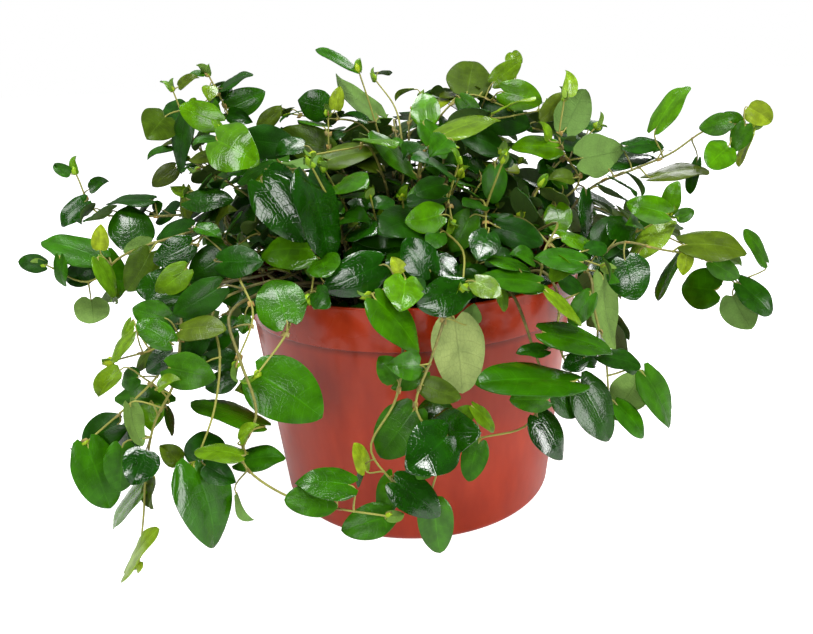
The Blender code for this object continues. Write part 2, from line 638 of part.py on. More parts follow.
def cone_shape(low_radius, high_radius, low, high, sides=24):
    """A closed cone for the pot or the mix."""
    corners = []
    for radius, height in ((low_radius, low), (high_radius, high)):
        for k in range(sides):
            turn = 2 * math.pi * k / sides
            corners.append(Vector((radius * math.cos(turn), radius * math.sin(turn), height)))
    faces = [tuple(range(sides)), tuple(range(sides, 2 * sides))]
    for k in range(sides):
        after = (k + 1) % sides
        faces.append((k, after, sides + after, sides + k))
    return corners, faces


def tube_shape(route, radius, sides=6):
    """A tube round a route, for keeping clear of it."""
    corners, faces = [], []
    for k, point in enumerate(route):
        run = (route[min(k + 1, len(route) - 1)] - route[max(k - 1, 0)]).normalized()
        side = square_to(Vector((0.3, 0.9, 0.1)), run)
        for s in range(sides):
            corners.append(point + turned(side, run, 2 * math.pi * s / sides) * radius)
    for k in range(len(route) - 1):
        for s in range(sides):
            t = (s + 1) % sides
            faces.append((k * sides + s, k * sides + t, (k + 1) * sides + t, (k + 1) * sides + s))
    faces += [tuple(range(sides)), tuple(range(len(corners) - sides, len(corners)))]
    return corners, faces


def pot_room():
    """Room for leaves, with only the pot in it so far."""
    room = Room()
    wall = cone_shape(BASE_RADIUS + 1 * MM, RIM_RADIUS + 1 * MM, 0, POT_HEIGHT + 1 * MM, 48)
    room.add(*wall, "pot")
    return room


def crosses_itself(corners, faces):
    """Whether two faces of a shape that share no corner cut each other."""
    tree = BVHTree.FromPolygons(corners, faces)
    return any(not set(faces[a]) & set(faces[b]) for a, b in tree.overlap(tree))


def fits(room, leaf, vine):
    """Whether a leaf misses every other vine, and its blade misses its own."""
    if crosses_itself(*leaf_solid(leaf)):
        return False
    if not room.is_free(*leaf_solid(leaf, LEAF_CLEARANCE), vine, same_vine=False):
        return False
    return room.is_free(*leaf_solid(leaf, OWN_LEAF_CLEARANCE, stalk=False), vine, same_vine=True)


def stalked(route, base, along, face, length, breadth):
    """The leaf with its stalk run back to its stem, and clear enough of the stem to have one."""
    foot, run = nearest_on(route, base - along * (STALK_LENGTH / 2))
    short = SHORTEST_STALK - square_part(base - foot, run).length
    if short > 0:
        base = base + (square_part(along, run) + 0.2 * square_part(face, run)).normalized() * short
    return Leaf(base, along, face, length, breadth, foot)


def place_seen_leaf(room, name, route, picture):
    """The leaf as it is seen, moved along the line of sight or tilted until it has room."""
    for swing in SWINGS:
        for back in SHIFTS:
            base, along, face, length, breadth = pictured_leaf(
                *picture, back=back * MM, tilt=math.radians(swing)
            )
            leaf = stalked(route, base, along, face, length, breadth)
            if fits(room, leaf, name):
                return leaf
    return None


def filling_leaf(draw, place, run, side, length):
    """A leaf that a stem bears at a place, turned out from the dome of the plant."""
    outward = (place - DOME_MIDDLE).normalized()
    outward = (outward + Vector((0, 0, 0.35))).normalized()
    across = run.cross(outward).normalized() * side
    along = (run * draw.uniform(0.1, 0.7) + across * draw.uniform(0.6, 1.1)
             + outward * draw.uniform(-0.1, 0.3) - Vector((0, 0, draw.uniform(0.0, 0.5)))).normalized()
    face = square_to(outward + Vector([draw.uniform(-0.3, 0.3) for _ in range(3)]), along)
    stalk = (run * 0.4 + across * 0.7 + outward * 0.6).normalized() * STALK_LENGTH
    return Leaf(place + stalk, along, face, length, length * LEAF_BREADTH, place)


def place_filling_leaves(room, name, route, draw):
    """Leaves left and right along a stem, smaller towards its tip."""
    total = sum((b - a).length for a, b in zip(route, route[1:]))
    count = int((total - FILLING_BARE) / FILLING_SPACING)
    leaves = []
    for k in range(count + 1):
        walked = FILLING_BARE + (total - FILLING_BARE - 1 * MM) * k / max(1, count)
        place, run = along_route(route, walked)
        share = k / max(1, count)
        taper = max(0, share - FILLING_TAPER) / (1 - FILLING_TAPER)
        size = FILLING_LEAF + (FILLING_TIP_LEAF - FILLING_LEAF) * taper
        for attempt in range(FILLING_TRIES):
            length = size * draw.uniform(0.88, 1.08) * (1 - 0.02 * attempt)
            side = 1 if (k + attempt // 7) % 2 else -1
            leaf = filling_leaf(draw, place, run, side, length)
            if fits(room, leaf, name):
                leaves.append(leaf)
                room.add(*leaf_solid(leaf), name)
                break
    return leaves


def along_route(route, walked):
    """The point this far along a route, and the way that it runs there."""
    for a, b in zip(route, route[1:]):
        run = (b - a).length
        if walked <= run:
            return a.lerp(b, walked / run), (b - a).normalized()
        walked -= run
    return route[-1], (route[-1] - route[-2]).normalized()


def grow():
    """Every vine, with the leaves that have room: the seen ones first, the nearest first."""
    routes = stem_routes()
    room = pot_room()
    for name, route in routes.items():
        room.add(*tube_shape(route, STEM_RADIUS + STEM_MARGIN), name)
    leaves = {name: [] for name in routes}
    pictures = [(picture, name) for name, (_, seen_leaves) in SEEN_VINES.items() for picture in seen_leaves]
    for picture, name in sorted(pictures, key=lambda entry: entry[0][5]):
        leaf = place_seen_leaf(room, name, routes[name], picture)
        if leaf and leaf.length > LEAST_LEAF:
            leaves[name].append(leaf)
            room.add(*leaf_solid(leaf), name)
    draw = random.Random(FILLING_SEED)
    for name in FILLING_VINES:
        leaves[name] = place_filling_leaves(room, name, routes[name], draw)
    return [Vine(name, routes[name], leaves[name]) for name in routes]


# Solids

def make_material(name, colour, roughness):
    material = bpy.data.materials.new(name)
    material.use_nodes = True
    shader = material.node_tree.nodes["Principled BSDF"]
    shader.inputs["Base Color"].default_value = (*colour, 1)
    shader.inputs["Roughness"].default_value = roughness
    return material


def new_object(name, mesh, collection):
    thing = bpy.data.objects.new(name, mesh)
    collection.objects.link(thing)
    return thing


def boolean(thing, operation, others, solver="EXACT"):
    """Joins or cuts a solid with every object of a collection, then removes them."""
    step = thing.modifiers.new("join", "BOOLEAN")
    step.operation = operation
    step.operand_type = "COLLECTION"
    step.collection = others
    step.solver = solver
    with bpy.context.temp_override(object=thing, active_object=thing):
        bpy.ops.object.modifier_apply(modifier=step.name)
    for other in list(others.objects):
        bpy.data.objects.remove(other)
    bpy.data.collections.remove(others)


def cone(name, collection, low_radius, high_radius, low, high, sides, place=(0, 0)):
    """A closed cone standing at a place."""
    mesh = bpy.data.meshes.new(name)
    shape = bmesh.new()
    middle = Matrix.Translation((*place, (low + high) / 2))
    bmesh.ops.create_cone(shape, cap_ends=True, segments=sides, radius1=low_radius, radius2=high_radius,
                          depth=high - low, matrix=middle)
    shape.to_mesh(mesh)
    shape.free()
    return new_object(name, mesh, collection)


def build_pot(collection, plastic):
    """The pot's wall and floor, turned from a profile that runs down its outer side."""
    band_low = POT_HEIGHT - BAND_HEIGHT
    slope = (RIM_RADIUS - BASE_RADIUS) / POT_HEIGHT
    under_band = RIM_RADIUS - slope * BAND_HEIGHT - BAND_STEP
    low = FOOT_ROUNDING
    profile = [
        (RIM_RADIUS - WALL, POT_HEIGHT),
        (RIM_RADIUS, POT_HEIGHT),
        (RIM_RADIUS - slope * BAND_HEIGHT, band_low),
        (under_band, band_low - BAND_STEP),
        (BASE_RADIUS + slope * low, low),
        (BASE_RADIUS - 0.3 * low, 0.3 * low),
        (BASE_RADIUS - low, 0),
        (0, 0),
        (0, WALL),
        (BASE_RADIUS - low, WALL),
        (BASE_RADIUS - WALL, WALL + low / 2),
        (under_band - WALL, band_low - BAND_STEP),
    ]
    mesh = bpy.data.meshes.new("pot")
    on_axis = profile.index((0, 0))
    edges = [(k, (k + 1) % len(profile)) for k in range(len(profile)) if k != on_axis]
    mesh.from_pydata([(x, 0, z) for x, z in profile], edges, [])
    pot = new_object("pot", mesh, collection)
    turn = pot.modifiers.new("turn", "SCREW")
    turn.steps = turn.render_steps = POT_SIDES
    turn.use_merge_vertices = True
    turn.merge_threshold = 0.0001
    drains = bpy.data.collections.new("drains")
    bpy.context.scene.collection.children.link(drains)
    for k in range(DRAIN_HOLES):
        around = 2 * math.pi * (k + 0.5) / DRAIN_HOLES
        cone("drain", drains, DRAIN_RADIUS, DRAIN_RADIUS, -WALL, 2 * WALL, DRAIN_SIDES,
             (DRAIN_RING * math.cos(around), DRAIN_RING * math.sin(around)))
    with bpy.context.temp_override(object=pot, active_object=pot):
        bpy.ops.object.modifier_apply(modifier=turn.name)
    boolean(pot, "DIFFERENCE", drains)
    pot.data.materials.append(plastic)


def build_mix(collection, mix, vines):
    """The plug of mix, with a plain hole for each stem."""
    slope = (RIM_RADIUS - BASE_RADIUS) / POT_HEIGHT
    low = WALL + GAP
    round_base = FOOT_ROUNDING / 2
    inside = BASE_RADIUS - WALL - GAP / math.cos(math.pi / POT_SIDES) - BAND_STEP
    body = cone("potting_mix", collection, inside + slope * round_base, inside + slope * MIX_TOP,
                low + round_base, MIX_TOP, MIX_SIDES)
    holes = bpy.data.collections.new("holes")
    bpy.context.scene.collection.children.link(holes)
    for vine in vines:
        cone("hole", holes, HOLE_RADIUS, HOLE_RADIUS, MIX_TOP - HOLE_DEPTH, MIX_TOP + HOLE_DEPTH,
             HOLE_SIDES, vine.stem[0].xy)
    boolean(body, "DIFFERENCE", holes)
    body.data.materials.append(mix)


def build_stem(vine, collection, section, twist):
    """The stem as a tapering tube along its route, its section turned by a twist."""
    curve = bpy.data.curves.new(vine.name, "CURVE")
    curve.dimensions = "3D"
    curve.bevel_mode = "OBJECT"
    curve.bevel_object = section
    curve.use_fill_caps = True
    line = curve.splines.new("POLY")
    line.points.add(len(vine.stem) - 1)
    for k, place in enumerate(vine.stem):
        share = k / (len(vine.stem) - 1)
        line.points[k].co = (*place, 1)
        line.points[k].radius = STEM_RADIUS + (STEM_TIP_RADIUS - STEM_RADIUS) * share
        line.points[k].tilt = twist
    guide = new_object("guide", curve, collection)
    bpy.context.view_layer.update()
    mesh = bpy.data.meshes.new_from_object(guide.evaluated_get(bpy.context.evaluated_depsgraph_get()))
    bpy.data.objects.remove(guide)
    return new_object(vine.name, tidied(mesh), collection)


def tidied(mesh):
    """The mesh with its doubles merged and its faces turned outwards."""
    shape = bmesh.new()
    shape.from_mesh(mesh)
    bmesh.ops.remove_doubles(shape, verts=shape.verts, dist=0.01 * MM)
    bmesh.ops.recalc_face_normals(shape, faces=shape.faces)
    shape.to_mesh(mesh)
    shape.free()
    return mesh


def thinnest(mesh):
    """The least height of any triangle of a mesh."""
    mesh.calc_loop_triangles()
    least = 1.0
    for triangle in mesh.loop_triangles:
        a, b, c = (mesh.vertices[k].co for k in triangle.vertices)
        longest = max((b - a).length, (c - b).length, (a - c).length)
        least = min(least, (b - a).cross(c - a).length / longest)
    return least


def stem_section(collection):
    """The three-sided section that the stems are swept with."""
    curve = bpy.data.curves.new("stem_section", "CURVE")
    line = curve.splines.new("POLY")
    line.points.add(2)
    line.use_cyclic_u = True
    for k in range(3):
        turn = 2 * math.pi * k / 3
        line.points[k].co = (math.cos(turn), math.sin(turn), 0, 1)
    section = new_object("stem_section", curve, collection)
    section.hide_render = True
    return section


def join_vine(vine, collection, section, twist):
    """A stem and its leaves, joined into one solid.

    The joins are crowded, and the manifold solver is the one that leaves every one closed."""
    body = build_stem(vine, collection, section, twist)
    if vine.leaves:
        blades = bpy.data.collections.new("blades")
        bpy.context.scene.collection.children.link(blades)
        for leaf in vine.leaves:
            mesh = bpy.data.meshes.new("leaf")
            corners, faces = leaf_solid(leaf)
            mesh.from_pydata(corners, [], faces)
            new_object("leaf", tidied(mesh), blades)
        boolean(body, "UNION", blades, "MANIFOLD")
    return body


def build_vine(vine, collection, section, green):
    """The vine with its stem's section turned the way that leaves the cleanest joins."""
    best = None
    for k in range(STEM_TWISTS):
        body = join_vine(vine, collection, section, 2 * math.pi / 3 * k / STEM_TWISTS)
        clean = thinnest(body.data)
        if best and clean <= best[0]:
            bpy.data.objects.remove(body)
            continue
        if best:
            bpy.data.objects.remove(best[1])
        best = (clean, body)
    best[1].name = vine.name
    best[1].data.materials.append(green)


def build():
    for thing in list(bpy.data.objects):
        bpy.data.objects.remove(thing)
    plant = bpy.data.collections.new("creeping_fig")
    bpy.context.scene.collection.children.link(plant)
    green = make_material("leaf_green", (0.03, 0.12, 0.015), 0.35)
    vines = grow()
    build_pot(plant, make_material("terracotta_plastic", (0.40, 0.06, 0.025), 0.4))
    build_mix(plant, make_material("potting_mix", (0.02, 0.012, 0.008), 0.9), vines)
    section = stem_section(plant)
    for vine in vines:
        build_vine(vine, plant, section, green)
    bpy.data.objects.remove(section)


if __name__ == "__main__":
    build()
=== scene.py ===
# Creeping fig in its plastic nursery pot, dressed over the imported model.
#
# Metres, +Z up. The origin is the middle of the pot's flat underside, and -Y is the front.

import json
import math
import random
from collections import namedtuple

import bmesh
import bpy
from mathutils import Matrix, Quaternion, Vector
from mathutils.bvhtree import BVHTree
from mathutils.kdtree import KDTree

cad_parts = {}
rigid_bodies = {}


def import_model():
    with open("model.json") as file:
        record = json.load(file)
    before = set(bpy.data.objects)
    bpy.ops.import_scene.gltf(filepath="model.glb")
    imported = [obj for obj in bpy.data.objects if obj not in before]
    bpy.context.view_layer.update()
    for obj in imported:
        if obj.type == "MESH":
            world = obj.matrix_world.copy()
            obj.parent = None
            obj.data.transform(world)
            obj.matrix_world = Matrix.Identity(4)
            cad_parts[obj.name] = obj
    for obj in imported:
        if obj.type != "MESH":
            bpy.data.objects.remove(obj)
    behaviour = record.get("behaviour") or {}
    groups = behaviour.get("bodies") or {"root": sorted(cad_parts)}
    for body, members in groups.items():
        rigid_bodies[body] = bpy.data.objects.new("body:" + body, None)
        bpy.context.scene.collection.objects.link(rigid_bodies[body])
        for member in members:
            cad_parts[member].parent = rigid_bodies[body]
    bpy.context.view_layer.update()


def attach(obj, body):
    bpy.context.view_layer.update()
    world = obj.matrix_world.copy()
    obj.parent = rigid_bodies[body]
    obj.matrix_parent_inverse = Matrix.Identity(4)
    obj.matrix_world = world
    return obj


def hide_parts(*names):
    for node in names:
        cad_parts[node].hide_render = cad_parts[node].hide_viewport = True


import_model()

MM = 0.001


# The camera
#
# The plant stands at about arm's length, seen from a little above the leaves. A place in that
# picture and a depth give a real place, which is how the leaves of the front are laid out.

PICTURE_WIDTH = 813
SENSOR_WIDTH = 36
PICTURE_MIDDLE = (406.5, 317)
PICTURE_FOCAL = 778
EYE_DISTANCE = 385 * MM
EYE_ELEVATION = math.radians(18.6)
EYE_ROLL = math.radians(-2.3)
EYE_TARGET = Vector((-2.8 * MM, 0, 84 * MM))

LOOK = Vector((0, math.cos(EYE_ELEVATION), -math.sin(EYE_ELEVATION)))
EYE = EYE_TARGET - LOOK * EYE_DISTANCE
LEVEL_RIGHT = Vector((1, 0, 0))
LEVEL_UP = LEVEL_RIGHT.cross(LOOK)
PICTURE_RIGHT = LEVEL_RIGHT * math.cos(EYE_ROLL) + LEVEL_UP * math.sin(EYE_ROLL)
PICTURE_UP = LEVEL_UP * math.cos(EYE_ROLL) - LEVEL_RIGHT * math.sin(EYE_ROLL)

camera = bpy.data.objects.new("camera", bpy.data.cameras.new("camera"))
camera.data.sensor_width = SENSOR_WIDTH
camera.data.lens = SENSOR_WIDTH * PICTURE_FOCAL / PICTURE_WIDTH
camera_turn = Matrix((PICTURE_RIGHT, PICTURE_UP, -LOOK)).transposed().to_4x4()
camera.matrix_world = Matrix.Translation(EYE) @ camera_turn
bpy.context.scene.collection.objects.link(camera)
bpy.context.scene.camera = camera


# The pot
#
# A thin cup injection moulded in terracotta-coloured polypropylene. A broad band stiffens its
# rim, its foot is rounded, and its floor is raised a little between the drain holes.

POT_HEIGHT = 114 * MM
RIM_RADIUS = 80 * MM
BASE_RADIUS = 66.5 * MM
BAND_HEIGHT = 19 * MM
BAND_STEP = 1.4 * MM
WALL = 1.8 * MM
FOOT_ROUNDING = 4 * MM
DRAIN_HOLES = 8
DRAIN_RADIUS = 4.5 * MM
DRAIN_RING = 50 * MM
DRAIN_SIDES = 20
DRILL_LENGTH = 8 * WALL
POT_SIDES = 144
LIP_ROUNDING = 0.7 * MM
BAND_ROUNDING = 0.8 * MM
BAND_DIP = 0.2 * MM
BAND_RUN_OUT = 1.2 * MM
FOOT_RING = 0.8 * MM
FOOT_RING_BREADTH = 3 * MM
FOOT_RING_SLOPE = 1 * MM
SHARP_EDGE = math.radians(35)
SEAM = 0.01 * MM
DOUBLES = 0.001 * MM
PLASTIC_DEEP = "#8c2307"
PLASTIC_MID = "#9a2b0b"
PLASTIC_WORN = "#a93515"
# Painted shade under the band: a dark red laid on the wall just below the band's step
SHADE_UNDER_BAND = "#4a1206"
SHADE_UNDER_BAND_HEIGHT = 3.5 * MM
SHADE_UNDER_BAND_EDGE = 0.5 * MM
SHADE_UNDER_BAND_SHARE = 0.7
NOISE_LOW = 0.3
NOISE_HIGH = 0.7
FLOW_WIDTH = 9 * MM
FLOW_STRETCH = 0.35
SCUFF_WIDTH = 3 * FLOW_WIDTH
MOULD_GRAIN = 0.35 * MM
GRAIN_DEPTH = 0.05 * MM
BODY_ROUGHNESS = 0.4
BAND_ROUGHNESS = 0.24


def linear(code):
    """An sRGB hex colour as linear red, green, blue and alpha."""
    channels = [int(code[k:k + 2], 16) / 255 for k in (1, 3, 5)]
    return (*[c / 12.92 if c <= 0.04045 else ((c + 0.055) / 1.055) ** 2.4 for c in channels], 1)


def add(tree, kind, inputs=None, **settings):
    """Adds a node with its settings. Each input is a value, or the socket that feeds it."""
    node = tree.nodes.new(kind)
    for name, value in settings.items():
        setattr(node, name, value)
    for name, value in (inputs or {}).items():
        if isinstance(value, bpy.types.NodeSocket):
            tree.links.new(value, node.inputs[name])
        else:
            node.inputs[name].default_value = value
    return node


def ramp(tree, factor, stops):
    """A colour ramp through stops of position and hex colour."""
    node = add(tree, "ShaderNodeValToRGB", {0: factor})
    band = node.color_ramp
    while len(band.elements) < len(stops):
        band.elements.new(1)
    for element, (place, code) in zip(band.elements, stops):
        element.position = place
        element.color = linear(code)
    return node.outputs[0]


def new_material(name, **fixed):
    """A material with its tree and its shader, whose fixed sockets are set."""
    material = bpy.data.materials.new(name)
    material.use_nodes = True
    shader = material.node_tree.nodes["Principled BSDF"]
    for socket, value in fixed.items():
        shader.inputs[socket.replace("_", " ")].default_value = value
    return material, material.node_tree, shader


def feed(tree, shader, **sources):
    """Links sockets of other nodes to the shader's inputs."""
    for socket, source in sources.items():
        tree.links.new(source, shader.inputs[socket.replace("_", " ")])


def new_piece(name, mesh, stands_for=()):
    """A finished piece, which rides on the one body that plant and pot are, and may replace nodes."""
    piece = bpy.data.objects.new(name, mesh)
    bpy.context.scene.collection.objects.link(piece)
    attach(piece, "root")
    if stands_for:
        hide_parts(*stands_for)
    return piece


def moulded_polypropylene():
    """Semi-gloss polypropylene: a soft broad sheen, faint flow marks and a fine mould grain."""
    material, tree, shader = new_material(
        "moulded_terracotta_polypropylene", Specular_IOR_Level=0.2, Coat_Weight=0.28, Coat_Roughness=0.12)
    place = add(tree, "ShaderNodeTexCoord").outputs["Object"]
    flow = add(tree, "ShaderNodeMapping", {0: place, "Scale": (1, 1, FLOW_STRETCH)}).outputs[0]
    streaks = add(tree, "ShaderNodeTexNoise", {0: flow, "Scale": 1 / FLOW_WIDTH, "Detail": 3.0}).outputs[0]
    plastic = ramp(tree, streaks, ((0.25, PLASTIC_DEEP), (0.5, PLASTIC_MID), (0.85, PLASTIC_WORN)))
    grain = add(tree, "ShaderNodeTexNoise", {0: place, "Scale": 1 / MOULD_GRAIN, "Detail": 2.0}).outputs[0]
    scuffs = add(tree, "ShaderNodeTexNoise", {0: place, "Scale": 1 / SCUFF_WIDTH, "Detail": 5.0}).outputs[0]
    uneven = add(tree, "ShaderNodeMapRange",
                 {0: scuffs, 1: NOISE_LOW, 2: NOISE_HIGH, 3: -0.04, 4: 0.06}).outputs[0]
    height = add(tree, "ShaderNodeSeparateXYZ", {0: place}).outputs["Z"]
    edge = POT_HEIGHT - BAND_HEIGHT
    # Painted shade: the wall just under the band darkens towards the band's step, where the band would shade
    # it
    shade_fade = add(tree, "ShaderNodeMapRange",
                   {0: height, 1: edge - SHADE_UNDER_BAND_HEIGHT, 2: edge, 4: SHADE_UNDER_BAND_SHARE}).outputs[0]
    under_band = add(tree, "ShaderNodeMapRange",
                     {0: height, 1: edge, 2: edge + SHADE_UNDER_BAND_EDGE, 3: 1.0, 4: 0.0}).outputs[0]
    painted_shade = add(tree, "ShaderNodeMath", {0: shade_fade, 1: under_band}, operation="MULTIPLY").outputs[0]
    colour = add(tree, "ShaderNodeMix", {"Factor": painted_shade, "A": plastic, "B": linear(SHADE_UNDER_BAND)},
                 data_type="RGBA").outputs["Result"]
    # The band is polished and the wall below it is left as the mould gives it
    texture = add(tree, "ShaderNodeMapRange",
                  {0: height, 1: edge - 1 * MM, 2: edge, 3: BODY_ROUGHNESS, 4: BAND_ROUGHNESS}).outputs[0]
    rough = add(tree, "ShaderNodeMath", {0: uneven, 1: texture}, operation="ADD").outputs[0]
    bump = add(tree, "ShaderNodeBump",
               {"Height": grain, "Strength": 0.08, "Distance": GRAIN_DEPTH}).outputs[0]
    feed(tree, shader, Base_Color=colour, Roughness=rough, Normal=bump)
    return material


def arc(middle, radius, start, end, steps):
    """Points of an arc in the profile's plane, angles in degrees."""
    turns = [math.radians(start + (end - start) * k / steps) for k in range(steps + 1)]
    return [(middle[0] + radius * math.cos(t), middle[1] + radius * math.sin(t)) for t in turns]


def turned_mesh(name, profile, sides):
    """An object with a Screw modifier that turns a closed profile round the Z axis."""
    mesh = bpy.data.meshes.new(name)
    mesh.from_pydata([(x, 0, z) for x, z in profile], [(k, k + 1) for k in range(len(profile) - 1)], [])
    guide = bpy.data.objects.new(name, mesh)
    bpy.context.scene.collection.objects.link(guide)
    turn = guide.modifiers.new("turn", "SCREW")
    turn.steps = turn.render_steps = sides
    turn.use_merge_vertices = True
    turn.merge_threshold = SEAM
    return guide


def evaluated_mesh(thing):
    """The evaluated mesh of an object, which is then removed with its modifiers."""
    bpy.context.view_layer.update()
    graph = bpy.context.evaluated_depsgraph_get()
    mesh = bpy.data.meshes.new_from_object(thing.evaluated_get(graph), preserve_all_data_layers=True,
                                           depsgraph=graph)
    bpy.data.objects.remove(thing)
    return mesh


def outward(mesh):
    """The mesh with its doubles merged and its faces turned outwards."""
    shape = bmesh.new()
    shape.from_mesh(mesh)
    bmesh.ops.remove_doubles(shape, verts=shape.verts, dist=DOUBLES)
    bmesh.ops.recalc_face_normals(shape, faces=shape.faces)
    shape.to_mesh(mesh)
    shape.free()
    return mesh


def pot_profile():
    """The pot's section, down its outer side, in under its floor and back up inside."""
    slope = (RIM_RADIUS - BASE_RADIUS) / POT_HEIGHT
    band_low = POT_HEIGHT - BAND_HEIGHT
    band_radius = RIM_RADIUS - slope * BAND_HEIGHT
    body_radius = band_radius - BAND_STEP
    body_top = band_low - BAND_RUN_OUT
    foot = FOOT_ROUNDING
    foot_radius = BASE_RADIUS + slope * foot
    lip = LIP_ROUNDING
    outer = arc((RIM_RADIUS - lip, POT_HEIGHT - lip), lip, 90, 0, 6)
    outer += [(band_radius + BAND_DIP / 2, band_low + BAND_RUN_OUT)]
    outer += arc((band_radius - BAND_ROUNDING, band_low + BAND_ROUNDING - BAND_DIP), BAND_ROUNDING, 0, -90, 5)
    outer += [(body_radius + 0.75 * BAND_DIP, band_low - BAND_DIP), (body_radius, body_top)]
    for share in (0.25, 0.5, 0.75):
        outer += [(body_radius + (foot_radius - body_radius) * share, body_top + (foot - body_top) * share)]
    outer += arc((foot_radius - foot, foot), foot, 0, -90, 8)
    ring = BASE_RADIUS - foot - FOOT_RING_BREADTH
    under = [(ring, 0), (ring - FOOT_RING_SLOPE, FOOT_RING), (0, FOOT_RING)]
    floor = FOOT_RING + WALL
    floor_radius = BASE_RADIUS - foot - WALL / 2
    inner = [(0, floor), (floor_radius, floor)]
    inner += arc((floor_radius, floor + foot / 2), foot / 2, -90, 0, 5)
    inner += [(body_radius - WALL, body_top), (band_radius - WALL, band_low + 1 * MM)]
    inner += arc((RIM_RADIUS - WALL + lip, POT_HEIGHT - lip), lip, 180, 90, 6)
    return outer + under, inner


outside, inside = pot_profile()
pot_guide = turned_mesh("pot_turned", outside + inside + outside[:1], POT_SIDES)
pot_guide.data.materials.append(moulded_polypropylene())
drill_mesh = bpy.data.meshes.new("drills")
drills = bmesh.new()
for k in range(DRAIN_HOLES):
    around = 2 * math.pi * (k + 0.5) / DRAIN_HOLES
    middle = Matrix.Translation((DRAIN_RING * math.cos(around), DRAIN_RING * math.sin(around), 0))
    bmesh.ops.create_cone(drills, cap_ends=True, segments=DRAIN_SIDES, radius1=DRAIN_RADIUS,
                          radius2=DRAIN_RADIUS, depth=DRILL_LENGTH, matrix=middle)
drills.to_mesh(drill_mesh)
drills.free()
drill = bpy.data.objects.new("drills", drill_mesh)
bpy.context.scene.collection.objects.link(drill)
cut = pot_guide.modifiers.new("drains", "BOOLEAN")
cut.operation = "DIFFERENCE"
cut.object = drill
pot_mesh = outward(evaluated_mesh(pot_guide))
bpy.data.objects.remove(drill)
pot_mesh.shade_smooth()
pot_mesh.set_sharp_from_angle(angle=SHARP_EDGE)
new_piece("nursery_pot", pot_mesh, stands_for=["pot"])


# The potting mix
#
# Peat and fine bark, filled to a little under the rim and watered in, so it is dark, damp and
# crumbly, a little sunk in the middle, with loose crumbs on top.

GAP = 0.3 * MM
MIX_TOP = 101 * MM
MIX_SIDES = 72
MIX_RINGS = 30
MIX_HEAVE = 2.2 * MM
MIX_WAVES = (9 * MM, 8 * MM, 4.7 * MM, 3.1 * MM)
MIX_SWELL = 0.3
MIX_DIP = 0.4
MIX_EDGE = 6 * MM
CLOD = 4 * MM
FIBRE = 1.3 * MM
PEAT_RELIEF = 0.8 * MM
CRUMB_SPACING = 2.6 * MM
CRUMB_SEED = 4
CRUMB_DENSITY = 400000.0
CRUMB_RADIUS = 0.45
LEAST_CRUMB = (0.25, 0.2, 0.15)
LARGEST_CRUMB = (0.9, 0.6, 0.45)
FULL_TURN = 6.28
LEVEL_ENOUGH = 0.6
MIX_DARK = "#120c08"
MIX_MID = "#2b1d13"
MIX_PALE = "#5a4531"


def damp_peat():
    """Damp peat with bark: rough, nearly black in its pits, brown on its crumbs."""
    material, tree, shader = new_material("damp_peat_mix", Roughness=0.9, IOR=1.4)
    place = add(tree, "ShaderNodeTexCoord").outputs["Object"]
    clods = add(tree, "ShaderNodeTexNoise", {0: place, "Scale": 1 / CLOD, "Detail": 6.0}).outputs[0]
    fibres = add(tree, "ShaderNodeTexVoronoi", {0: place, "Scale": 1 / FIBRE}).outputs["Distance"]
    colour = ramp(tree, clods, ((0.35, MIX_DARK), (0.55, MIX_MID), (0.75, MIX_PALE)))
    height = add(tree, "ShaderNodeMath", {0: clods, 1: fibres}, operation="ADD").outputs[0]
    bump = add(tree, "ShaderNodeBump",
               {"Height": height, "Strength": 0.9, "Distance": PEAT_RELIEF}).outputs[0]
    feed(tree, shader, Base_Color=colour, Normal=bump)
    return material


def mix_mesh():
    """The plug of mix: a turned body whose top heaves by a sum of waves."""
    slope = (RIM_RADIUS - BASE_RADIUS) / POT_HEIGHT
    base = FOOT_RING + WALL + GAP
    foot = BASE_RADIUS - WALL - BAND_STEP - 2 * GAP
    top = foot + slope * MIX_TOP
    rings = [(top * (1 - k / MIX_RINGS), MIX_TOP) for k in range(MIX_RINGS)]
    profile = [(foot - FOOT_ROUNDING, base), (foot, base + FOOT_ROUNDING), *rings]
    long_x, long_y, medium, short = MIX_WAVES
    mesh = bpy.data.meshes.new("potting_mix_plug")
    shape = bmesh.new()
    rows = []
    for radius, height in profile:
        row = []
        for k in range(MIX_SIDES):
            turn = 2 * math.pi * k / MIX_SIDES
            x, y = radius * math.cos(turn), radius * math.sin(turn)
            edge = min(1, (top - radius) / MIX_EDGE) if height == MIX_TOP else 0
            heave = math.sin(x / long_x + 1) * math.cos(y / long_y)
            heave += math.sin((x + y) / medium) * 0.6 + math.cos((x - 1.7 * y) / short) * 0.35
            row.append(shape.verts.new((x, y, height + edge * (MIX_SWELL * heave - MIX_DIP) * MIX_HEAVE)))
        rows.append(row)
    for low, high in zip(rows, rows[1:]):
        for k in range(MIX_SIDES):
            after = (k + 1) % MIX_SIDES
            shape.faces.new((low[k], low[after], high[after], high[k]))
    centre = shape.verts.new((0, 0, MIX_TOP))
    for k in range(MIX_SIDES):
        shape.faces.new((rows[-1][k], rows[-1][(k + 1) % MIX_SIDES], centre))
    shape.faces.new(list(reversed(rows[0])))
    shape.to_mesh(mesh)
    shape.free()
    return outward(mesh)


def new_tree(name, **inputs):
    """A geometry tree with named inputs, and the outputs of its first node by name."""
    tree = bpy.data.node_groups.new(name, "GeometryNodeTree")
    tree.interface.new_socket("Geometry", in_out="INPUT", socket_type="NodeSocketGeometry")
    tree.interface.new_socket("Geometry", in_out="OUTPUT", socket_type="NodeSocketGeometry")
    for label, kind in inputs.items():
        tree.interface.new_socket(label, in_out="INPUT", socket_type=kind)
    return tree, tree.nodes.new("NodeGroupInput").outputs


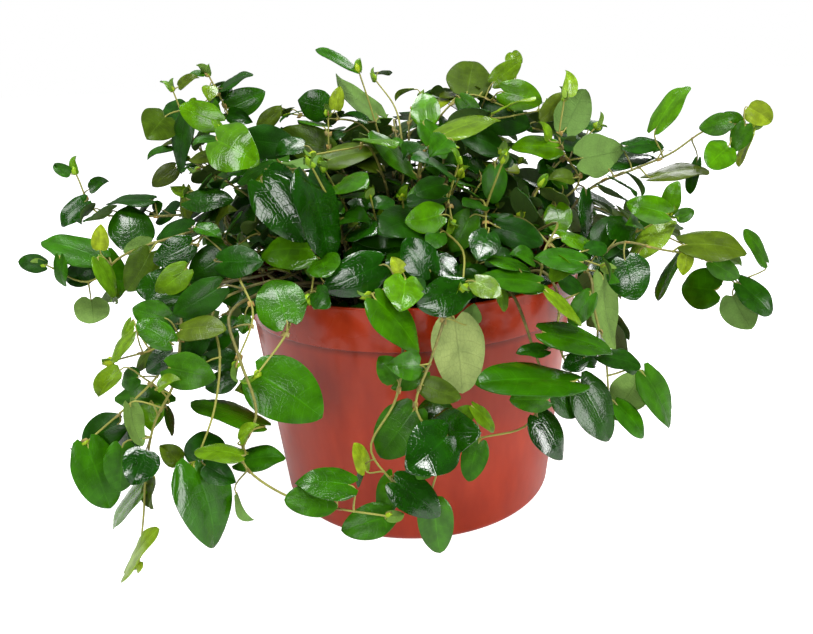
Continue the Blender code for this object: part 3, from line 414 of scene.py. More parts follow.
def apply_tree(name, mesh, tree, **values):
    """The mesh that a geometry tree makes of a mesh, its inputs set by their labels."""
    thing = bpy.data.objects.new(name, mesh)
    bpy.context.scene.collection.objects.link(thing)
    step = thing.modifiers.new("make", "NODES")
    step.node_group = tree
    for socket in tree.interface.items_tree:
        if socket.in_out == "INPUT" and socket.name in values:
            step[socket.identifier] = values[socket.name]
    return evaluated_mesh(thing)


def finished(mesh, guides=()):
    """The mesh without its empty material slots and the attributes that only guided its making."""
    for k in reversed(range(len(mesh.materials))):
        if mesh.materials[k] is None:
            mesh.materials.pop(index=k)
    for name in guides:
        mesh.attributes.remove(mesh.attributes[name])
    return mesh


def crumb_tree(material):
    """Flattish crumbs of mixed sizes strewn over the faces that look up, turned every way."""
    tree, given = new_tree("loose_crumbs", Spacing="NodeSocketFloat", Seed="NodeSocketInt")
    normal = add(tree, "GeometryNodeInputNormal").outputs[0]
    upward = add(tree, "ShaderNodeSeparateXYZ", {0: normal}).outputs["Z"]
    level = add(tree, "FunctionNodeCompare", {0: upward, 1: LEVEL_ENOUGH},
                operation="GREATER_THAN").outputs[0]
    strewn = add(tree, "GeometryNodeDistributePointsOnFaces",
                 {"Mesh": given["Geometry"], "Selection": level, "Distance Min": given["Spacing"],
                  "Density Max": CRUMB_DENSITY, "Seed": given["Seed"]}, distribute_method="POISSON")
    crumb = add(tree, "GeometryNodeMeshIcoSphere",
                {"Radius": CRUMB_RADIUS, "Subdivisions": 1}).outputs["Mesh"]
    size = add(tree, "FunctionNodeRandomValue",
               {"Min": LEAST_CRUMB, "Max": LARGEST_CRUMB, "Seed": given["Seed"]},
               data_type="FLOAT_VECTOR").outputs["Value"]
    real = add(tree, "ShaderNodeVectorMath", {0: size, "Scale": given["Spacing"]},
               operation="SCALE").outputs[0]
    turn = add(tree, "FunctionNodeRandomValue", {"Max": (FULL_TURN,) * 3, "Seed": given["Seed"]},
               data_type="FLOAT_VECTOR").outputs["Value"]
    strewn_crumbs = add(tree, "GeometryNodeInstanceOnPoints",
                        {"Points": strewn.outputs["Points"], "Instance": crumb, "Rotation": turn,
                         "Scale": real}).outputs[0]
    together = add(tree, "GeometryNodeJoinGeometry", {0: strewn_crumbs})
    tree.links.new(given["Geometry"], together.inputs[0])
    made = add(tree, "GeometryNodeRealizeInstances", {0: together.outputs[0]}).outputs[0]
    coated = add(tree, "GeometryNodeSetMaterial", {"Geometry": made, "Material": material}).outputs[0]
    add(tree, "NodeGroupOutput", {0: coated})
    return tree


crumbly_mix = apply_tree("mix_guide", mix_mesh(), crumb_tree(damp_peat()),
                         Spacing=CRUMB_SPACING, Seed=CRUMB_SEED)
new_piece("potting_mix_with_crumbs", finished(crumbly_mix), stands_for=["potting_mix"])


# The stems
#
# Wiry climbing stems, woody and brown at the foot, green and then yellow-green towards the tip.
# Each stands in the mix, rises or arches over the rim, and bears its leaves left and right.

HOLE_DEPTH = 9 * MM
ROOTED_RADIUS = 57 * MM
GOLDEN_ANGLE = math.radians(137.508)
PLACES_FOR_ROOTS = 62
STEM_RADIUS = 1.25 * MM
STEM_SEGMENT = 19.5 * MM
STEM_FINE_STEP = 3.5 * MM
STEM_CLEARANCE = 6.4 * MM
STEM_MARGIN = 0.7 * MM
STEM_TO_POT = 4 * MM
FLOOR_CLEARANCE = 4 * MM
UPRIGHT_FOOT = 5 * MM
OVER_RIM = 9 * MM
STEM_SWAY = 5 * MM
SPREADING_ROUNDS = 30
SPREADING_PUSH = 1.6
SMOOTHED_OVER = 2
CURVE_STEPS = 12
OUTSIDE_RIM = 1 * MM
COLLAR = 2 * MM
RISE_SHARE = 0.45
CLIMB_SHARE = 0.55

# The vines of the front: a stem's picture points with depths in millimetres behind the pot's
# axis, and its leaves: stalk end, tip, breadth in the picture, and depth. The letters say how
# each leaf looks: d dark, m mid green, b bright, l light, the lime of young leaves with painted
# light where light shines through them from behind, y lime, o olive, a painted shade for leaves
# that stand in shade, g dark and very glossy, u seen from its underside, p a pale underside
SEEN_VINES = {
    "vine_left_trailing": (
        ((186, 300, -80), (182, 330, -92), (182, 355, -102), (168, 400, -106), (148, 440, -109),
         (146, 500, -111), (141, 532, -112), (139, 562, -113)),
        ((182, 330, 225, 330, 24, -95), (170, 368, 214, 378, 36, -106), (158, 388, 180, 380, 12, -110),
         (130, 406, 142, 445, 18, -107), (150, 405, 151, 430, 26, -103), (167, 410, 172, 435, 8, -104),
         (122, 447, 120, 490, 32, -114), (146, 450, 132, 484, 34, -115), (148, 482, 113, 527, 13, -112),
         (155, 478, 153, 508, 9, -108), (127, 571, 157, 530, 12, -114)),
        "omlubdmgboy",
    ),
    "vine_far_left_trailing": (
        ((192, 302, -74), (170, 350, -92), (148, 382, -100), (122, 412, -107), (106, 428, -110),
         (88, 441, -111)),
        ((84, 443, 106, 503, 42, -112), (118, 424, 82, 440, 32, -107), (120, 370, 98, 396, 18, -102),
         (165, 404, 116, 396, 28, -100)),
        "mdlm",
    ),
    "vine_front_left_trailing": (
        ((246, 300, -84), (238, 335, -98), (243, 370, -108), (257, 412, -113), (241, 440, -115),
         (240, 456, -116), (265, 487, -117), (285, 493, -118), (310, 501, -118), (335, 508, -119),
         (375, 514, -119), (386, 516, -118)),
        ((262, 425, 193, 404, 20, -112), (240, 441, 258, 425, 12, -116), (242, 456, 196, 452, 17, -119),
         (240, 462, 284, 458, 24, -119), (236, 494, 252, 520, 9, -116), (349, 485, 297, 482, 30, -117),
         (333, 500, 286, 500, 32, -122), (388, 516, 343, 530, 33, -118)),
        "mllmummm",
    ),
    "vine_left_dark_trailing": (
        ((216, 292, -80), (222, 345, -98), (217, 395, -110), (207, 438, -117), (196, 462, -119)),
        ((194, 468, 214, 545, 50, -124), (205, 462, 208, 431, 48, -117), (205, 465, 235, 482, 24, -119),
         (180, 462, 160, 446, 20, -116)),
        "mddo",
    ),
    "vine_front_left_large": (
        ((300, 297, -78), (288, 330, -92), (272, 358, -102), (258, 372, -105)),
        ((257, 374, 320, 416, 60, -105), (287, 321, 272, 281, 48, -86), (251, 385, 236, 390, 20, -100)),
        "mmo",
    ),
    "vine_front_left_rim": (
        ((236, 272, -70), (247, 295, -84), (240, 330, -94), (234, 360, -99)),
        ((218, 288, 174, 314, 32, -82), (258, 292, 222, 300, 22, -78), (235, 360, 202, 358, 22, -95),
         (232, 378, 206, 388, 22, -97), (245, 315, 243, 334, 14, -92)),
        "ddddm",
    ),
    "vine_left_glossy": (
        ((212, 290, -66), (192, 322, -84), (172, 345, -92), (150, 352, -94), (130, 356, -95),
         (113, 361, -96)),
        ((165, 318, 133, 308, 28, -88), (170, 342, 138, 322, 26, -94), (133, 333, 113, 361, 11, -97),
         (131, 322, 122, 342, 10, -94), (172, 352, 148, 372, 24, -98)),
        "mmllg",
    ),
    "vine_left_arm": (
        ((205, 226, -40), (180, 235, -48), (150, 245, -52), (128, 255, -54), (98, 260, -56),
         (92, 277, -57), (78, 288, -58), (62, 280, -58), (46, 265, -57)),
        ((97, 258, 43, 242, 27, -54), (100, 250, 101, 225, 16, -56), (98, 260, 113, 297, 16, -60),
         (107, 256, 119, 297, 24, -54), (46, 262, 21, 259, 18, -58), (92, 266, 68, 282, 24, -52),
         (60, 258, 64, 286, 12, -60), (91, 300, 93, 323, 31, -58), (150, 252, 128, 290, 30, -58),
         (150, 243, 124, 252, 18, -48)),
        "mylmddmuou",
    ),
    "vine_left_shoulder": (
        ((222, 222, -42), (200, 242, -56), (186, 268, -66)),
        ((185, 270, 157, 292, 26, -70), (190, 245, 155, 262, 28, -63)),
        "lg",
    ),
    "vine_left_arm_upper": (
        ((215, 205, -5), (180, 215, -12), (140, 216, -16), (100, 214, -18), (85, 200, -19),
         (79, 184, -20), (76, 174, -20)),
        ((76, 172, 59, 163, 12, -20), (85, 191, 104, 183, 12, -18), (85, 202, 61, 225, 18, -22),
         (133, 243, 130, 206, 42, -28), (150, 200, 107, 204, 6, -14)),
        "mdddd",
    ),
    "vine_upper_left": (
        ((250, 170, 2), (235, 150, 1), (230, 118, 0), (218, 98, 0), (210, 86, 0), (209, 76, 0)),
        ((209, 72, 192, 76, 5, 0), (210, 86, 209, 101, 15, -4), (217, 91, 246, 76, 8, 2),
         (229, 108, 264, 92, 26, 3), (206, 105, 223, 120, 21, -6), (228, 114, 252, 122, 16, -6),
         (262, 125, 281, 107, 16, 2)),
        "mldmmdo",
    ),
    "vine_left_sprig": (
        ((225, 185, -12), (200, 160, -12), (190, 130, -11), (181, 102, -10), (173, 91, -10)),
        ((173, 89, 193, 80, 9, -10), (192, 108, 197, 100, 12, -12), (165, 117, 148, 138, 34, -14),
         (185, 118, 182, 172, 17, -20), (174, 149, 148, 159, 5, -14), (175, 168, 153, 186, 18, -16)),
        "olodmo",
    ),
    "vine_left_bright": (
        ((258, 175, -25), (240, 150, -34), (222, 130, -37)),
        ((217, 122, 180, 106, 28, -34), (218, 141, 257, 163, 48, -45), (250, 140, 298, 147, 32, -34)),
        "bbd",
    ),
    "vine_glossy_pair": (
        ((300, 178, -35), (285, 172, -50), (268, 176, -58)),
        ((262, 182, 304, 239, 46, -68), (268, 170, 296, 188, 24, -56), (308, 178, 326, 261, 40, -62)),
        "ggg",
    ),
    "vine_left_low_bright": (
        ((268, 234, -34), (250, 248, -50), (228, 259, -59)),
        ((196, 227, 221, 238, 14, -50), (225, 255, 190, 278, 34, -62), (222, 262, 262, 262, 32, -66)),
        "mdd",
    ),
    "vine_left_inner": (
        ((232, 202, -20), (208, 194, -32), (189, 192, -38)),
        ((186, 190, 186, 225, 12, -40), (190, 200, 232, 200, 22, -46)),
        "od",
    ),
    "vine_top_left": (
        ((370, 175, 5), (378, 150, 8), (386, 130, 10), (372, 112, 11), (358, 86, 12), (359, 72, 12)),
        ((359, 68, 322, 48, 6, 12), (376, 114, 336, 77, 18, 10), (343, 133, 327, 141, 8, 8),
         (368, 122, 342, 116, 6, 8)),
        "mudd",
    ),
    "vine_top_left_low": (
        ((345, 185, -5), (333, 165, -3), (328, 140, 0), (328, 116, 2)),
        ((330, 108, 302, 100, 30, 2), (335, 110, 340, 87, 14, 0), (327, 150, 283, 132, 34, -5),
         (330, 160, 378, 152, 20, -6), (322, 160, 278, 163, 9, -8)),
        "dyoou",
    ),
    "vine_top": (
        ((430, 185, 0), (432, 150, 4), (438, 118, 6), (455, 98, 7), (470, 95, 8), (490, 103, 9),
         (508, 108, 10)),
        ((426, 122, 424, 94, 28, 0), (424, 125, 445, 158, 22, -4), (468, 93, 474, 64, 44, 10),
         (494, 82, 520, 62, 20, 12), (516, 66, 512, 52, 16, 12), (504, 92, 541, 102, 28, 6),
         (521, 97, 515, 112, 10, 2), (460, 98, 480, 120, 18, 0), (484, 112, 529, 127, 34, 4)),
        "bmollbumd",
    ),
    "vine_top_low": (
        ((470, 200, -15), (485, 175, -16), (500, 155, -12)),
        ((500, 150, 460, 135, 24, -10), (508, 168, 503, 155, 14, -14), (495, 168, 494, 203, 24, -26)),
        "ddm",
    ),
    "vine_right_top": (
        ((540, 225, -20), (553, 205, -22), (568, 198, -20), (580, 185, -17), (575, 165, -15),
         (560, 145, -14), (557, 128, -13), (564, 101, -12)),
        ((569, 97, 567, 71, 14, -12), (566, 128, 585, 91, 34, -10), (582, 158, 621, 150, 42, -18),
         (575, 178, 620, 152, 13, -10), (573, 178, 548, 180, 14, -22), (549, 140, 539, 122, 8, -14),
         (556, 148, 513, 148, 20, -16), (566, 99, 540, 120, 22, -6), (556, 207, 562, 234, 26, -33),
         (586, 195, 586, 236, 14, -26)),
        "yuumolbobg",
    ),
    "vine_right_arm_upper": (
        ((580, 200, -15), (605, 178, -12), (650, 165, -10), (680, 147, -10), (697, 135, -10),
         (730, 121, -10), (750, 127, -10)),
        ((627, 146, 663, 146, 15, -6), (605, 162, 655, 158, 18, -12), (657, 127, 687, 86, 20, -6),
         (729, 122, 700, 128, 21, -14), (728, 147, 708, 166, 30, -16), (742, 124, 723, 114, 13, -6),
         (745, 126, 734, 151, 20, -12), (748, 107, 771, 122, 22, -10), (752, 129, 739, 161, 8, -12),
         (652, 178, 707, 170, 14, -14), (697, 162, 690, 193, 12, -14)),
        "dgbmbmmyyom",
    ),
    "vine_right_arm_lower": (
        ((570, 270, -35), (590, 262, -42), (605, 250, -44), (620, 242, -45), (637, 254, -46),
         (660, 250, -46), (683, 247, -46), (700, 257, -46), (716, 268, -46), (736, 284, -46)),
        ((640, 252, 675, 222, 24, -44), (625, 260, 636, 299, 40, -50), (687, 245, 745, 253, 28, -44),
         (766, 262, 744, 231, 13, -46), (687, 253, 683, 275, 15, -52), (715, 290, 682, 285, 40, -48),
         (712, 262, 738, 278, 20, -52), (733, 296, 751, 328, 34, -46), (740, 284, 771, 313, 24, -52),
         (680, 255, 658, 299, 11, -42)),
        "ydomymmudm",
    ),
    "vine_right_bright": (
        ((612, 240, -22), (640, 230, -32), (666, 217, -38)),
        ((668, 215, 630, 205, 26, -38), (668, 212, 677, 182, 18, -36), (676, 218, 694, 211, 14, -38)),
        "bbm",
    ),
    "vine_right_trailing": (
        ((586, 262, -56), (592, 290, -68), (596, 320, -78), (601, 345, -84), (608, 365, -86),
         (611, 385, -87), (609, 405, -88)),
        ((603, 278, 613, 347, 26, -65), (597, 258, 598, 292, 18, -60), (600, 356, 640, 366, 18, -86),
         (622, 403, 642, 371, 36, -84), (617, 405, 642, 437, 20, -88), (645, 376, 669, 426, 24, -80)),
        "ugdumm",
    ),
    "vine_front_right_dark": (
        ((560, 285, -70), (555, 320, -84), (560, 348, -90), (571, 370, -92), (576, 384, -93)),
        ((545, 333, 611, 352, 25, -90), (575, 386, 603, 441, 38, -93), (570, 382, 479, 383, 33, -98),
         (545, 350, 517, 353, 14, -92), (583, 358, 563, 368, 20, -96), (590, 295, 571, 326, 22, -80),
         (548, 293, 580, 325, 8, -86)),
        "mdmdgml",
    ),
    "vine_front_right_low": (
        ((526, 325, -86), (537, 370, -94), (546, 398, -96), (536, 420, -98), (505, 433, -100),
         (480, 438, -102)),
        ((547, 400, 511, 400, 24, -97), (533, 415, 557, 457, 30, -99), (478, 440, 468, 477, 25, -104),
         (474, 408, 494, 431, 14, -105)),
        "mgml",
    ),
    "vine_front_right_rim": (
        ((548, 225, -40), (549, 250, -60), (547, 270, -70), (538, 284, -76), (520, 289, -79),
         (500, 288, -80), (483, 284, -81)),
        ((538, 283, 480, 281, 22, -78), (550, 268, 575, 270, 26, -72), (580, 262, 535, 257, 22, -66),
         (500, 290, 505, 311, 11, -84), (480, 283, 447, 285, 28, -82), (462, 290, 418, 305, 38, -86)),
        "mlmldg",
    ),
    "vine_middle_glossy": (
        ((470, 195, -25), (488, 212, -45), (486, 230, -58)),
        ((488, 233, 478, 260, 30, -68), (470, 217, 451, 251, 30, -60), (500, 228, 542, 243, 28, -50)),
        "gmd",
    ),
    "vine_middle_left": (
        ((440, 190, -28), (446, 205, -46), (450, 222, -56)),
        ((440, 215, 406, 222, 30, -64), (452, 228, 451, 196, 23, -48)),
        "bd",
    ),
    "vine_middle_rim": (
        ((424, 235, -46), (430, 256, -64), (428, 272, -72), (408, 282, -79), (390, 288, -83),
         (378, 298, -87)),
        ((430, 270, 405, 240, 34, -72), (405, 280, 400, 310, 38, -84), (405, 279, 394, 264, 14, -80),
         (380, 265, 324, 290, 40, -76), (376, 300, 417, 351, 34, -90)),
        "gbygm",
    ),
    "vine_middle_trailing": (
        ((440, 300, -84), (446, 322, -92), (434, 347, -97), (428, 370, -101), (414, 400, -106),
         (425, 423, -108), (440, 433, -109), (437, 465, -111), (430, 496, -112)),
        ((455, 320, 462, 391, 50, -92), (470, 322, 474, 304, 20, -88), (420, 365, 388, 365, 28, -98),
         (423, 385, 460, 398, 24, -102), (413, 411, 381, 456, 45, -107), (436, 428, 432, 398, 38, -103),
         (458, 420, 474, 408, 18, -106), (437, 432, 479, 433, 44, -107), (447, 436, 408, 470, 52, -112),
         (430, 500, 436, 549, 34, -111)),
        "pumomdlggm",
    ),
    "vine_middle_left_trailing": (
        ((396, 322, -92), (405, 355, -99), (402, 385, -104), (386, 420, -107), (368, 455, -109),
         (372, 476, -110), (394, 484, -112)),
        ((398, 380, 380, 357, 26, -103), (423, 372, 392, 388, 20, -101), (365, 470, 354, 444, 16, -109),
         (362, 470, 358, 487, 6, -110), (393, 478, 383, 514, 24, -112), (395, 482, 438, 515, 36, -114)),
        "mmydmg",
    ),
}

# The vines of the crown, the sides and the back: azimuth from the front in degrees, how far out
# and how high the stem arches, and where it ends, in millimetres
FILLING_VINES = {
    "vine_back_trailing_1": (112, 96, 128, 116, 44),
    "vine_back_trailing_2": (146, 98, 130, 118, 30),
    "vine_back_trailing_3": (178, 96, 128, 116, 52),
    "vine_back_trailing_4": (212, 98, 130, 118, 26),
    "vine_back_trailing_5": (246, 96, 128, 116, 48),
    "vine_back_arm_1": (96, 80, 136, 152, 104),
    "vine_back_arm_2": (128, 84, 142, 146, 92),
    "vine_back_arm_3": (160, 84, 140, 150, 108),
    "vine_back_arm_4": (194, 84, 142, 148, 94),
    "vine_back_arm_5": (228, 84, 142, 150, 106),
    "vine_back_arm_6": (264, 80, 136, 150, 96),
    "vine_back_upper_1": (118, 52, 172, 112, 158),
    "vine_back_upper_2": (152, 56, 168, 116, 144),
    "vine_back_upper_3": (186, 52, 174, 112, 160),
    "vine_back_upper_4": (220, 56, 168, 116, 146),
    "vine_back_upper_5": (250, 52, 170, 112, 156),
    "vine_crown_1": (20, 26, 172, 56, 172),
    "vine_crown_2": (95, 24, 176, 62, 180),
    "vine_crown_3": (170, 20, 182, 58, 186),
    "vine_crown_4": (245, 24, 178, 62, 182),
    "vine_crown_5": (320, 26, 170, 58, 170),
    "vine_crown_6": (210, 6, 178, 26, 196),
    "vine_front_fill_1": (335, 56, 138, 92, 122),
    "vine_front_fill_2": (12, 54, 140, 90, 126),
    "vine_front_fill_3": (50, 58, 140, 98, 122),
}


def seen(px, py, depth):
    """The place seen at a picture point, depth behind the pot's axis."""
    across = (px - PICTURE_MIDDLE[0]) / PICTURE_FOCAL
    up = (PICTURE_MIDDLE[1] - py) / PICTURE_FOCAL
    ray = LOOK + PICTURE_RIGHT * across + PICTURE_UP * up
    return EYE + ray * ((depth - EYE.y) / ray.y)


def square_part(vector, axis):
    """What is left of a vector without its part along an axis of length 1."""
    return vector - axis * vector.dot(axis)


def square_to(vector, axis):
    """The direction square to an axis that is nearest to a vector."""
    return square_part(vector, axis).normalized()


def turned(vector, axis, angle):
    """A vector turned about an axis."""
    return Quaternion(axis, angle) @ vector


def smooth_path(points, step):
    """A smooth curve through the points, as points a step apart."""
    ends = [points[0] * 2 - points[1], *points, points[-1] * 2 - points[-2]]
    fine = [points[0]]
    for before, start, end, after in zip(ends, ends[1:], ends[2:], ends[3:]):
        for part in range(1, CURVE_STEPS + 1):
            t = part / CURVE_STEPS
            fine.append(0.5 * (2 * start + (end - before) * t
                               + (2 * before - 5 * start + 4 * end - after) * t ** 2
                               + (3 * start - before - 3 * end + after) * t ** 3))
    total = sum((b - a).length for a, b in zip(fine, fine[1:]))
    pieces = max(2, round(total / step))
    path, walked, wanted = [fine[0]], 0.0, total / pieces
    for a, b in zip(fine, fine[1:]):
        run = (b - a).length
        while len(path) < pieces and walked + run >= wanted * len(path):
            path.append(a.lerp(b, (wanted * len(path) - walked) / run))
        walked += run
    path.append(fine[-1])
    return path


def root_places():
    """Evenly spread places for roots, as the seeds in a sunflower are."""
    places = []
    for k in range(PLACES_FOR_ROOTS):
        out = ROOTED_RADIUS * math.sqrt((k + 0.5) / PLACES_FOR_ROOTS)
        places.append(Vector((out * math.cos(k * GOLDEN_ANGLE), out * math.sin(k * GOLDEN_ANGLE), 0)))
    return places


def take_root(wanted, places):
    """The free place for a root that is nearest to the one wanted, which is then taken."""
    nearest = min(places, key=lambda place: (place - wanted).length)
    places.remove(nearest)
    return nearest


def climb(root, first):
    """Control points from the foot of a stem, up out of the mix and over the rim if it must."""
    foot = root + Vector((0, 0, MIX_TOP - HOLE_DEPTH + GAP))
    collar = root + Vector((0, 0, MIX_TOP + UPRIGHT_FOOT))
    points = [foot, collar]
    out = Vector((first.x, first.y, 0))
    if out.length > RIM_RADIUS:
        over = out.normalized() * (RIM_RADIUS + OUTSIDE_RIM)
        height = max(POT_HEIGHT + OVER_RIM, collar.lerp(first, CLIMB_SHARE).z)
        points.append(Vector((over.x, over.y, height)))
    return points


def filling_path(azimuth, arch_out, arch_height, end_out, end_height):
    """Control points of a stem that rises, arches over and hangs, with a slight sway."""
    turn = math.radians(azimuth)
    outward = Vector((math.sin(turn), -math.cos(turn), 0))
    sideways = Vector((-outward.y, outward.x, 0))
    sway = STEM_SWAY * (1 if azimuth % 4 < 2 else -1)
    arch = outward * (arch_out * MM) + Vector((0, 0, arch_height * MM))
    end = outward * (end_out * MM) + Vector((0, 0, end_height * MM))
    rise = arch.lerp(Vector((0, 0, MIX_TOP)), RISE_SHARE) + Vector((0, 0, OVER_RIM))
    swell = arch.lerp(end, 0.5) + outward * STEM_SWAY + sideways * sway
    return [rise, arch, swell, end]


def keep_out(point):
    """Moves a stem's point out of the pot, its mix and the floor."""
    out = math.hypot(point.x, point.y)
    wall = BASE_RADIUS + (RIM_RADIUS - BASE_RADIUS) * min(1, max(0, point.z / POT_HEIGHT))
    if out > wall:
        if point.z < POT_HEIGHT + STEM_TO_POT and out < wall + STEM_TO_POT:
            point.x *= (wall + STEM_TO_POT) / out
            point.y *= (wall + STEM_TO_POT) / out
    elif out > RIM_RADIUS - 3 * STEM_TO_POT:
        point.z = max(point.z, POT_HEIGHT + STEM_TO_POT)
    else:
        point.z = max(point.z, MIX_TOP + STEM_TO_POT)
    point.z = max(point.z, FLOOR_CLEARANCE)


def spread_stems(paths):
    """Moves stems apart where they pass too close, and leaves the stretch in the mix alone."""
    rooted = math.ceil((HOLE_DEPTH + UPRIGHT_FOOT) / STEM_FINE_STEP) + 1
    for _ in range(SPREADING_ROUNDS):
        tree = KDTree(sum(len(path) for path in paths))
        owners = []
        for owner, path in enumerate(paths):
            for place in path:
                tree.insert(place, len(owners))
                owners.append(owner)
        tree.balance()
        for owner, path in enumerate(paths):
            pushes = []
            for place in path:
                push = Vector()
                for other, index, distance in tree.find_range(place, STEM_CLEARANCE):
                    if owners[index] != owner and distance > 0:
                        push += (place - other) * (0.5 * (STEM_CLEARANCE - distance) / distance)
                pushes.append(push)
            for k in range(rooted, len(path)):
                near = pushes[max(0, k - SMOOTHED_OVER):k + SMOOTHED_OVER + 1]
                path[k] = path[k] + sum(near, Vector()) * (SPREADING_PUSH / len(near))
                keep_out(path[k])


def thinned(path):
    """The path with its points about a segment apart, and its foot upright in its hole."""
    rooted = math.ceil(HOLE_DEPTH / STEM_FINE_STEP)
    top = Vector((path[0].x, path[0].y, MIX_TOP + COLLAR))
    tip = [path[-1]] if (len(path) - rooted) % 2 else []
    return [path[0].copy()] + smooth_path([top] + path[rooted + 1::2] + tip, STEM_SEGMENT)


def stem_routes():
    """The route of every stem, as points a segment apart, by vine."""
    places = root_places()
    controls = {}
    for name, (stem, _, _) in SEEN_VINES.items():
        controls[name] = [seen(x, y, depth * MM) for x, y, depth in stem]
    for name, sizes in FILLING_VINES.items():
        controls[name] = filling_path(*sizes)
    paths = {}
    for name in sorted(controls, key=lambda name: -Vector(controls[name][-1].xy).length):
        points = controls[name]
        middle = Vector((points[0].x, points[0].y, 0))
        reach = min(ROOTED_RADIUS, Vector(points[-1].xy).length * 0.5)
        root = take_root(middle.normalized() * reach, places)
        paths[name] = smooth_path(climb(root, points[0]) + points, STEM_FINE_STEP)
    spread_stems(list(paths.values()))
    return {name: thinned(path) for name, path in paths.items()}


# The leaves
#
# Leathery heart-shaped blades, glossy and quilted between sunken veins above, dull grey-green
# with a raised net below. The young ones near the tips are smaller, softer and lime.

# The blade and the stalk of the plain leaf that is tried for room
BLADE_THICKNESS = 0.75 * MM
STALK_WIDTH = 0.95 * MM
STALK_LENGTH = 6 * MM
SHORTEST_STALK = 3 * MM
STALK_LIFT = 0.2
STALK_FOOT_SIZE = 0.6
ELBOW_SIZE = 0.85
SHARP_TURN = math.radians(60)
ELBOW = 1.8 * MM
ELBOW_DROP = 0.6 * ELBOW
FOOT_SHARES = (0.07, 0.93)
LARGE_LEAF = 27 * MM
LEAST_LEAF = 9.5 * MM
LARGE_OUTLINE = ((0.31, -0.06, 0.0), (0.50, 0.27, 0.01), (0.37, 0.76, 0.02))
SMALL_OUTLINE = ((0.42, 0.04, 0.0), (0.42, 0.62, 0.02))
BLADE_MIDDLE = (0.0, 0.42, 0.07)

# How the real length, breadth and turn of a leaf are read from how it is seen
BROADEST_LEAF = 0.96
BROADEST_SHOWN = 0.86
MOST_FORESHORTENING = 1.45
LEAST_LEAN = 0.12
LEAST_RISE = 4
SLIMMEST_SHOWN = 0.60
TURNED_BREADTH = 0.72
MOST_TURN = math.radians(72)

# The room that a leaf needs
LEAF_CLEARANCE = 0.5 * MM
OWN_LEAF_CLEARANCE = 0.1 * MM
LEAF_TO_POT = 1 * MM
CONE_SIDES = 48
TUBE_SIDES = 6
ASKEW = Vector((0.3, 0.9, 0.1))

# The leaves of the hidden vines: how they follow each other along a stem, and how they face
FILLING_SEED = 11
FILLING_SPACING = 21 * MM
FILLING_LEAF = 27 * MM
FILLING_TIP_LEAF = 13 * MM
FILLING_BARE = 38 * MM
FILLING_TAPER = 0.55
FILLING_TRIES = 14
FILLING_SIDE_TRIES = 7
FILLING_SIZES = (0.88, 1.08)
FILLING_SHRINK = 0.02
LEAF_BREADTH = 0.80
DOME_MIDDLE = Vector((0, 0, 70 * MM))
LOOKS_UP = 0.35
LEAF_FORWARD = (0.1, 0.7)
LEAF_SIDEWAYS = (0.6, 1.1)
LEAF_OUTWARD = (-0.1, 0.3)
LEAF_DROOP = (0.0, 0.5)
FACE_SPREAD = 0.3
STALK_WAY = (0.4, 0.7, 0.6)

# A leaf without room is tried again this many millimetres further along the line of sight, and
# turned about its own length by this many degrees
SHIFTS = (0, 2, -2, 4, -4, 6, 8, -6, 10, -8, 12, -10, 14, 16, -12, 18)
SWINGS = (0, 14, -14, 28, -28, 42, -42)

Leaf = namedtuple("Leaf", "base along face length breadth foot")


def pictured_leaf(base_x, base_y, tip_x, tip_y, breadth, depth, back=0.0, tilt=0.0):
    """(stalk end, direction, face, length, breadth) of a leaf as it is seen."""
    base = seen(base_x, base_y, depth * MM + back)
    to_metres = (base - EYE).dot(LOOK) / PICTURE_FOCAL
    flat_length = math.hypot(tip_x - base_x, tip_y - base_y) * to_metres
    flat_breadth = breadth * to_metres
    length = min(max(flat_length, flat_breadth / BROADEST_SHOWN), flat_length * MOST_FORESHORTENING)
    lean = math.sqrt(max(0.0, length ** 2 - flat_length ** 2)) + LEAST_LEAN * length
    # A tip that is seen well above its stalk end leans away, and any other leans forward
    toward = -1 if tip_y > base_y - LEAST_RISE else 1
    tip = seen(tip_x, tip_y, depth * MM + back + toward * lean)
    length = (tip - base).length
    along = (tip - base).normalized()
    face = square_to(EYE - base, along)
    if flat_breadth < SLIMMEST_SHOWN * length:
        full = TURNED_BREADTH * length
        turn = min(MOST_TURN, math.acos(min(1, flat_breadth / full)))
        face = max(turned(face, along, turn), turned(face, along, -turn), key=lambda way: way.z)
        flat_breadth = full
    return base, along, turned(face, along, tilt), length, min(flat_breadth, BROADEST_LEAF * length)


def nearest_on(route, place):
    """The point of a route nearest to a place, past its rooted foot, and how the route runs there."""
    lowest, highest = FOOT_SHARES
    spots = []
    for a, b in zip(route[1:], route[2:]):
        span = b - a
        share = min(highest, max(lowest, (place - a).dot(span) / span.length_squared))
        spots.append((a + span * share, span.normalized()))
    return min(spots, key=lambda spot: (place - spot[0]).length)


def leaf_sections(leaf, outline, swell=0.0):
    """The rim of a blade from one side of its stalk round to the other, and its middle."""
    across = leaf.along.cross(leaf.face)
    half = STALK_WIDTH / 2 / leaf.breadth
    right = [(half, 0.0, 0.0), *outline]
    left = [(-x, y, z) for x, y, z in reversed(right)]
    wide, long = leaf.breadth + 2 * swell, leaf.length + 2 * swell

    def place(x, y, z):
        """A place on the blade, its length and breadth being 1."""
        return leaf.base + across * (x * wide) + leaf.along * (y * long) + leaf.face * (z * leaf.length)

    rim = [place(*point) for point in right + [(0.0, 1.0, 0.0)] + left]
    return rim, place(*BLADE_MIDDLE)


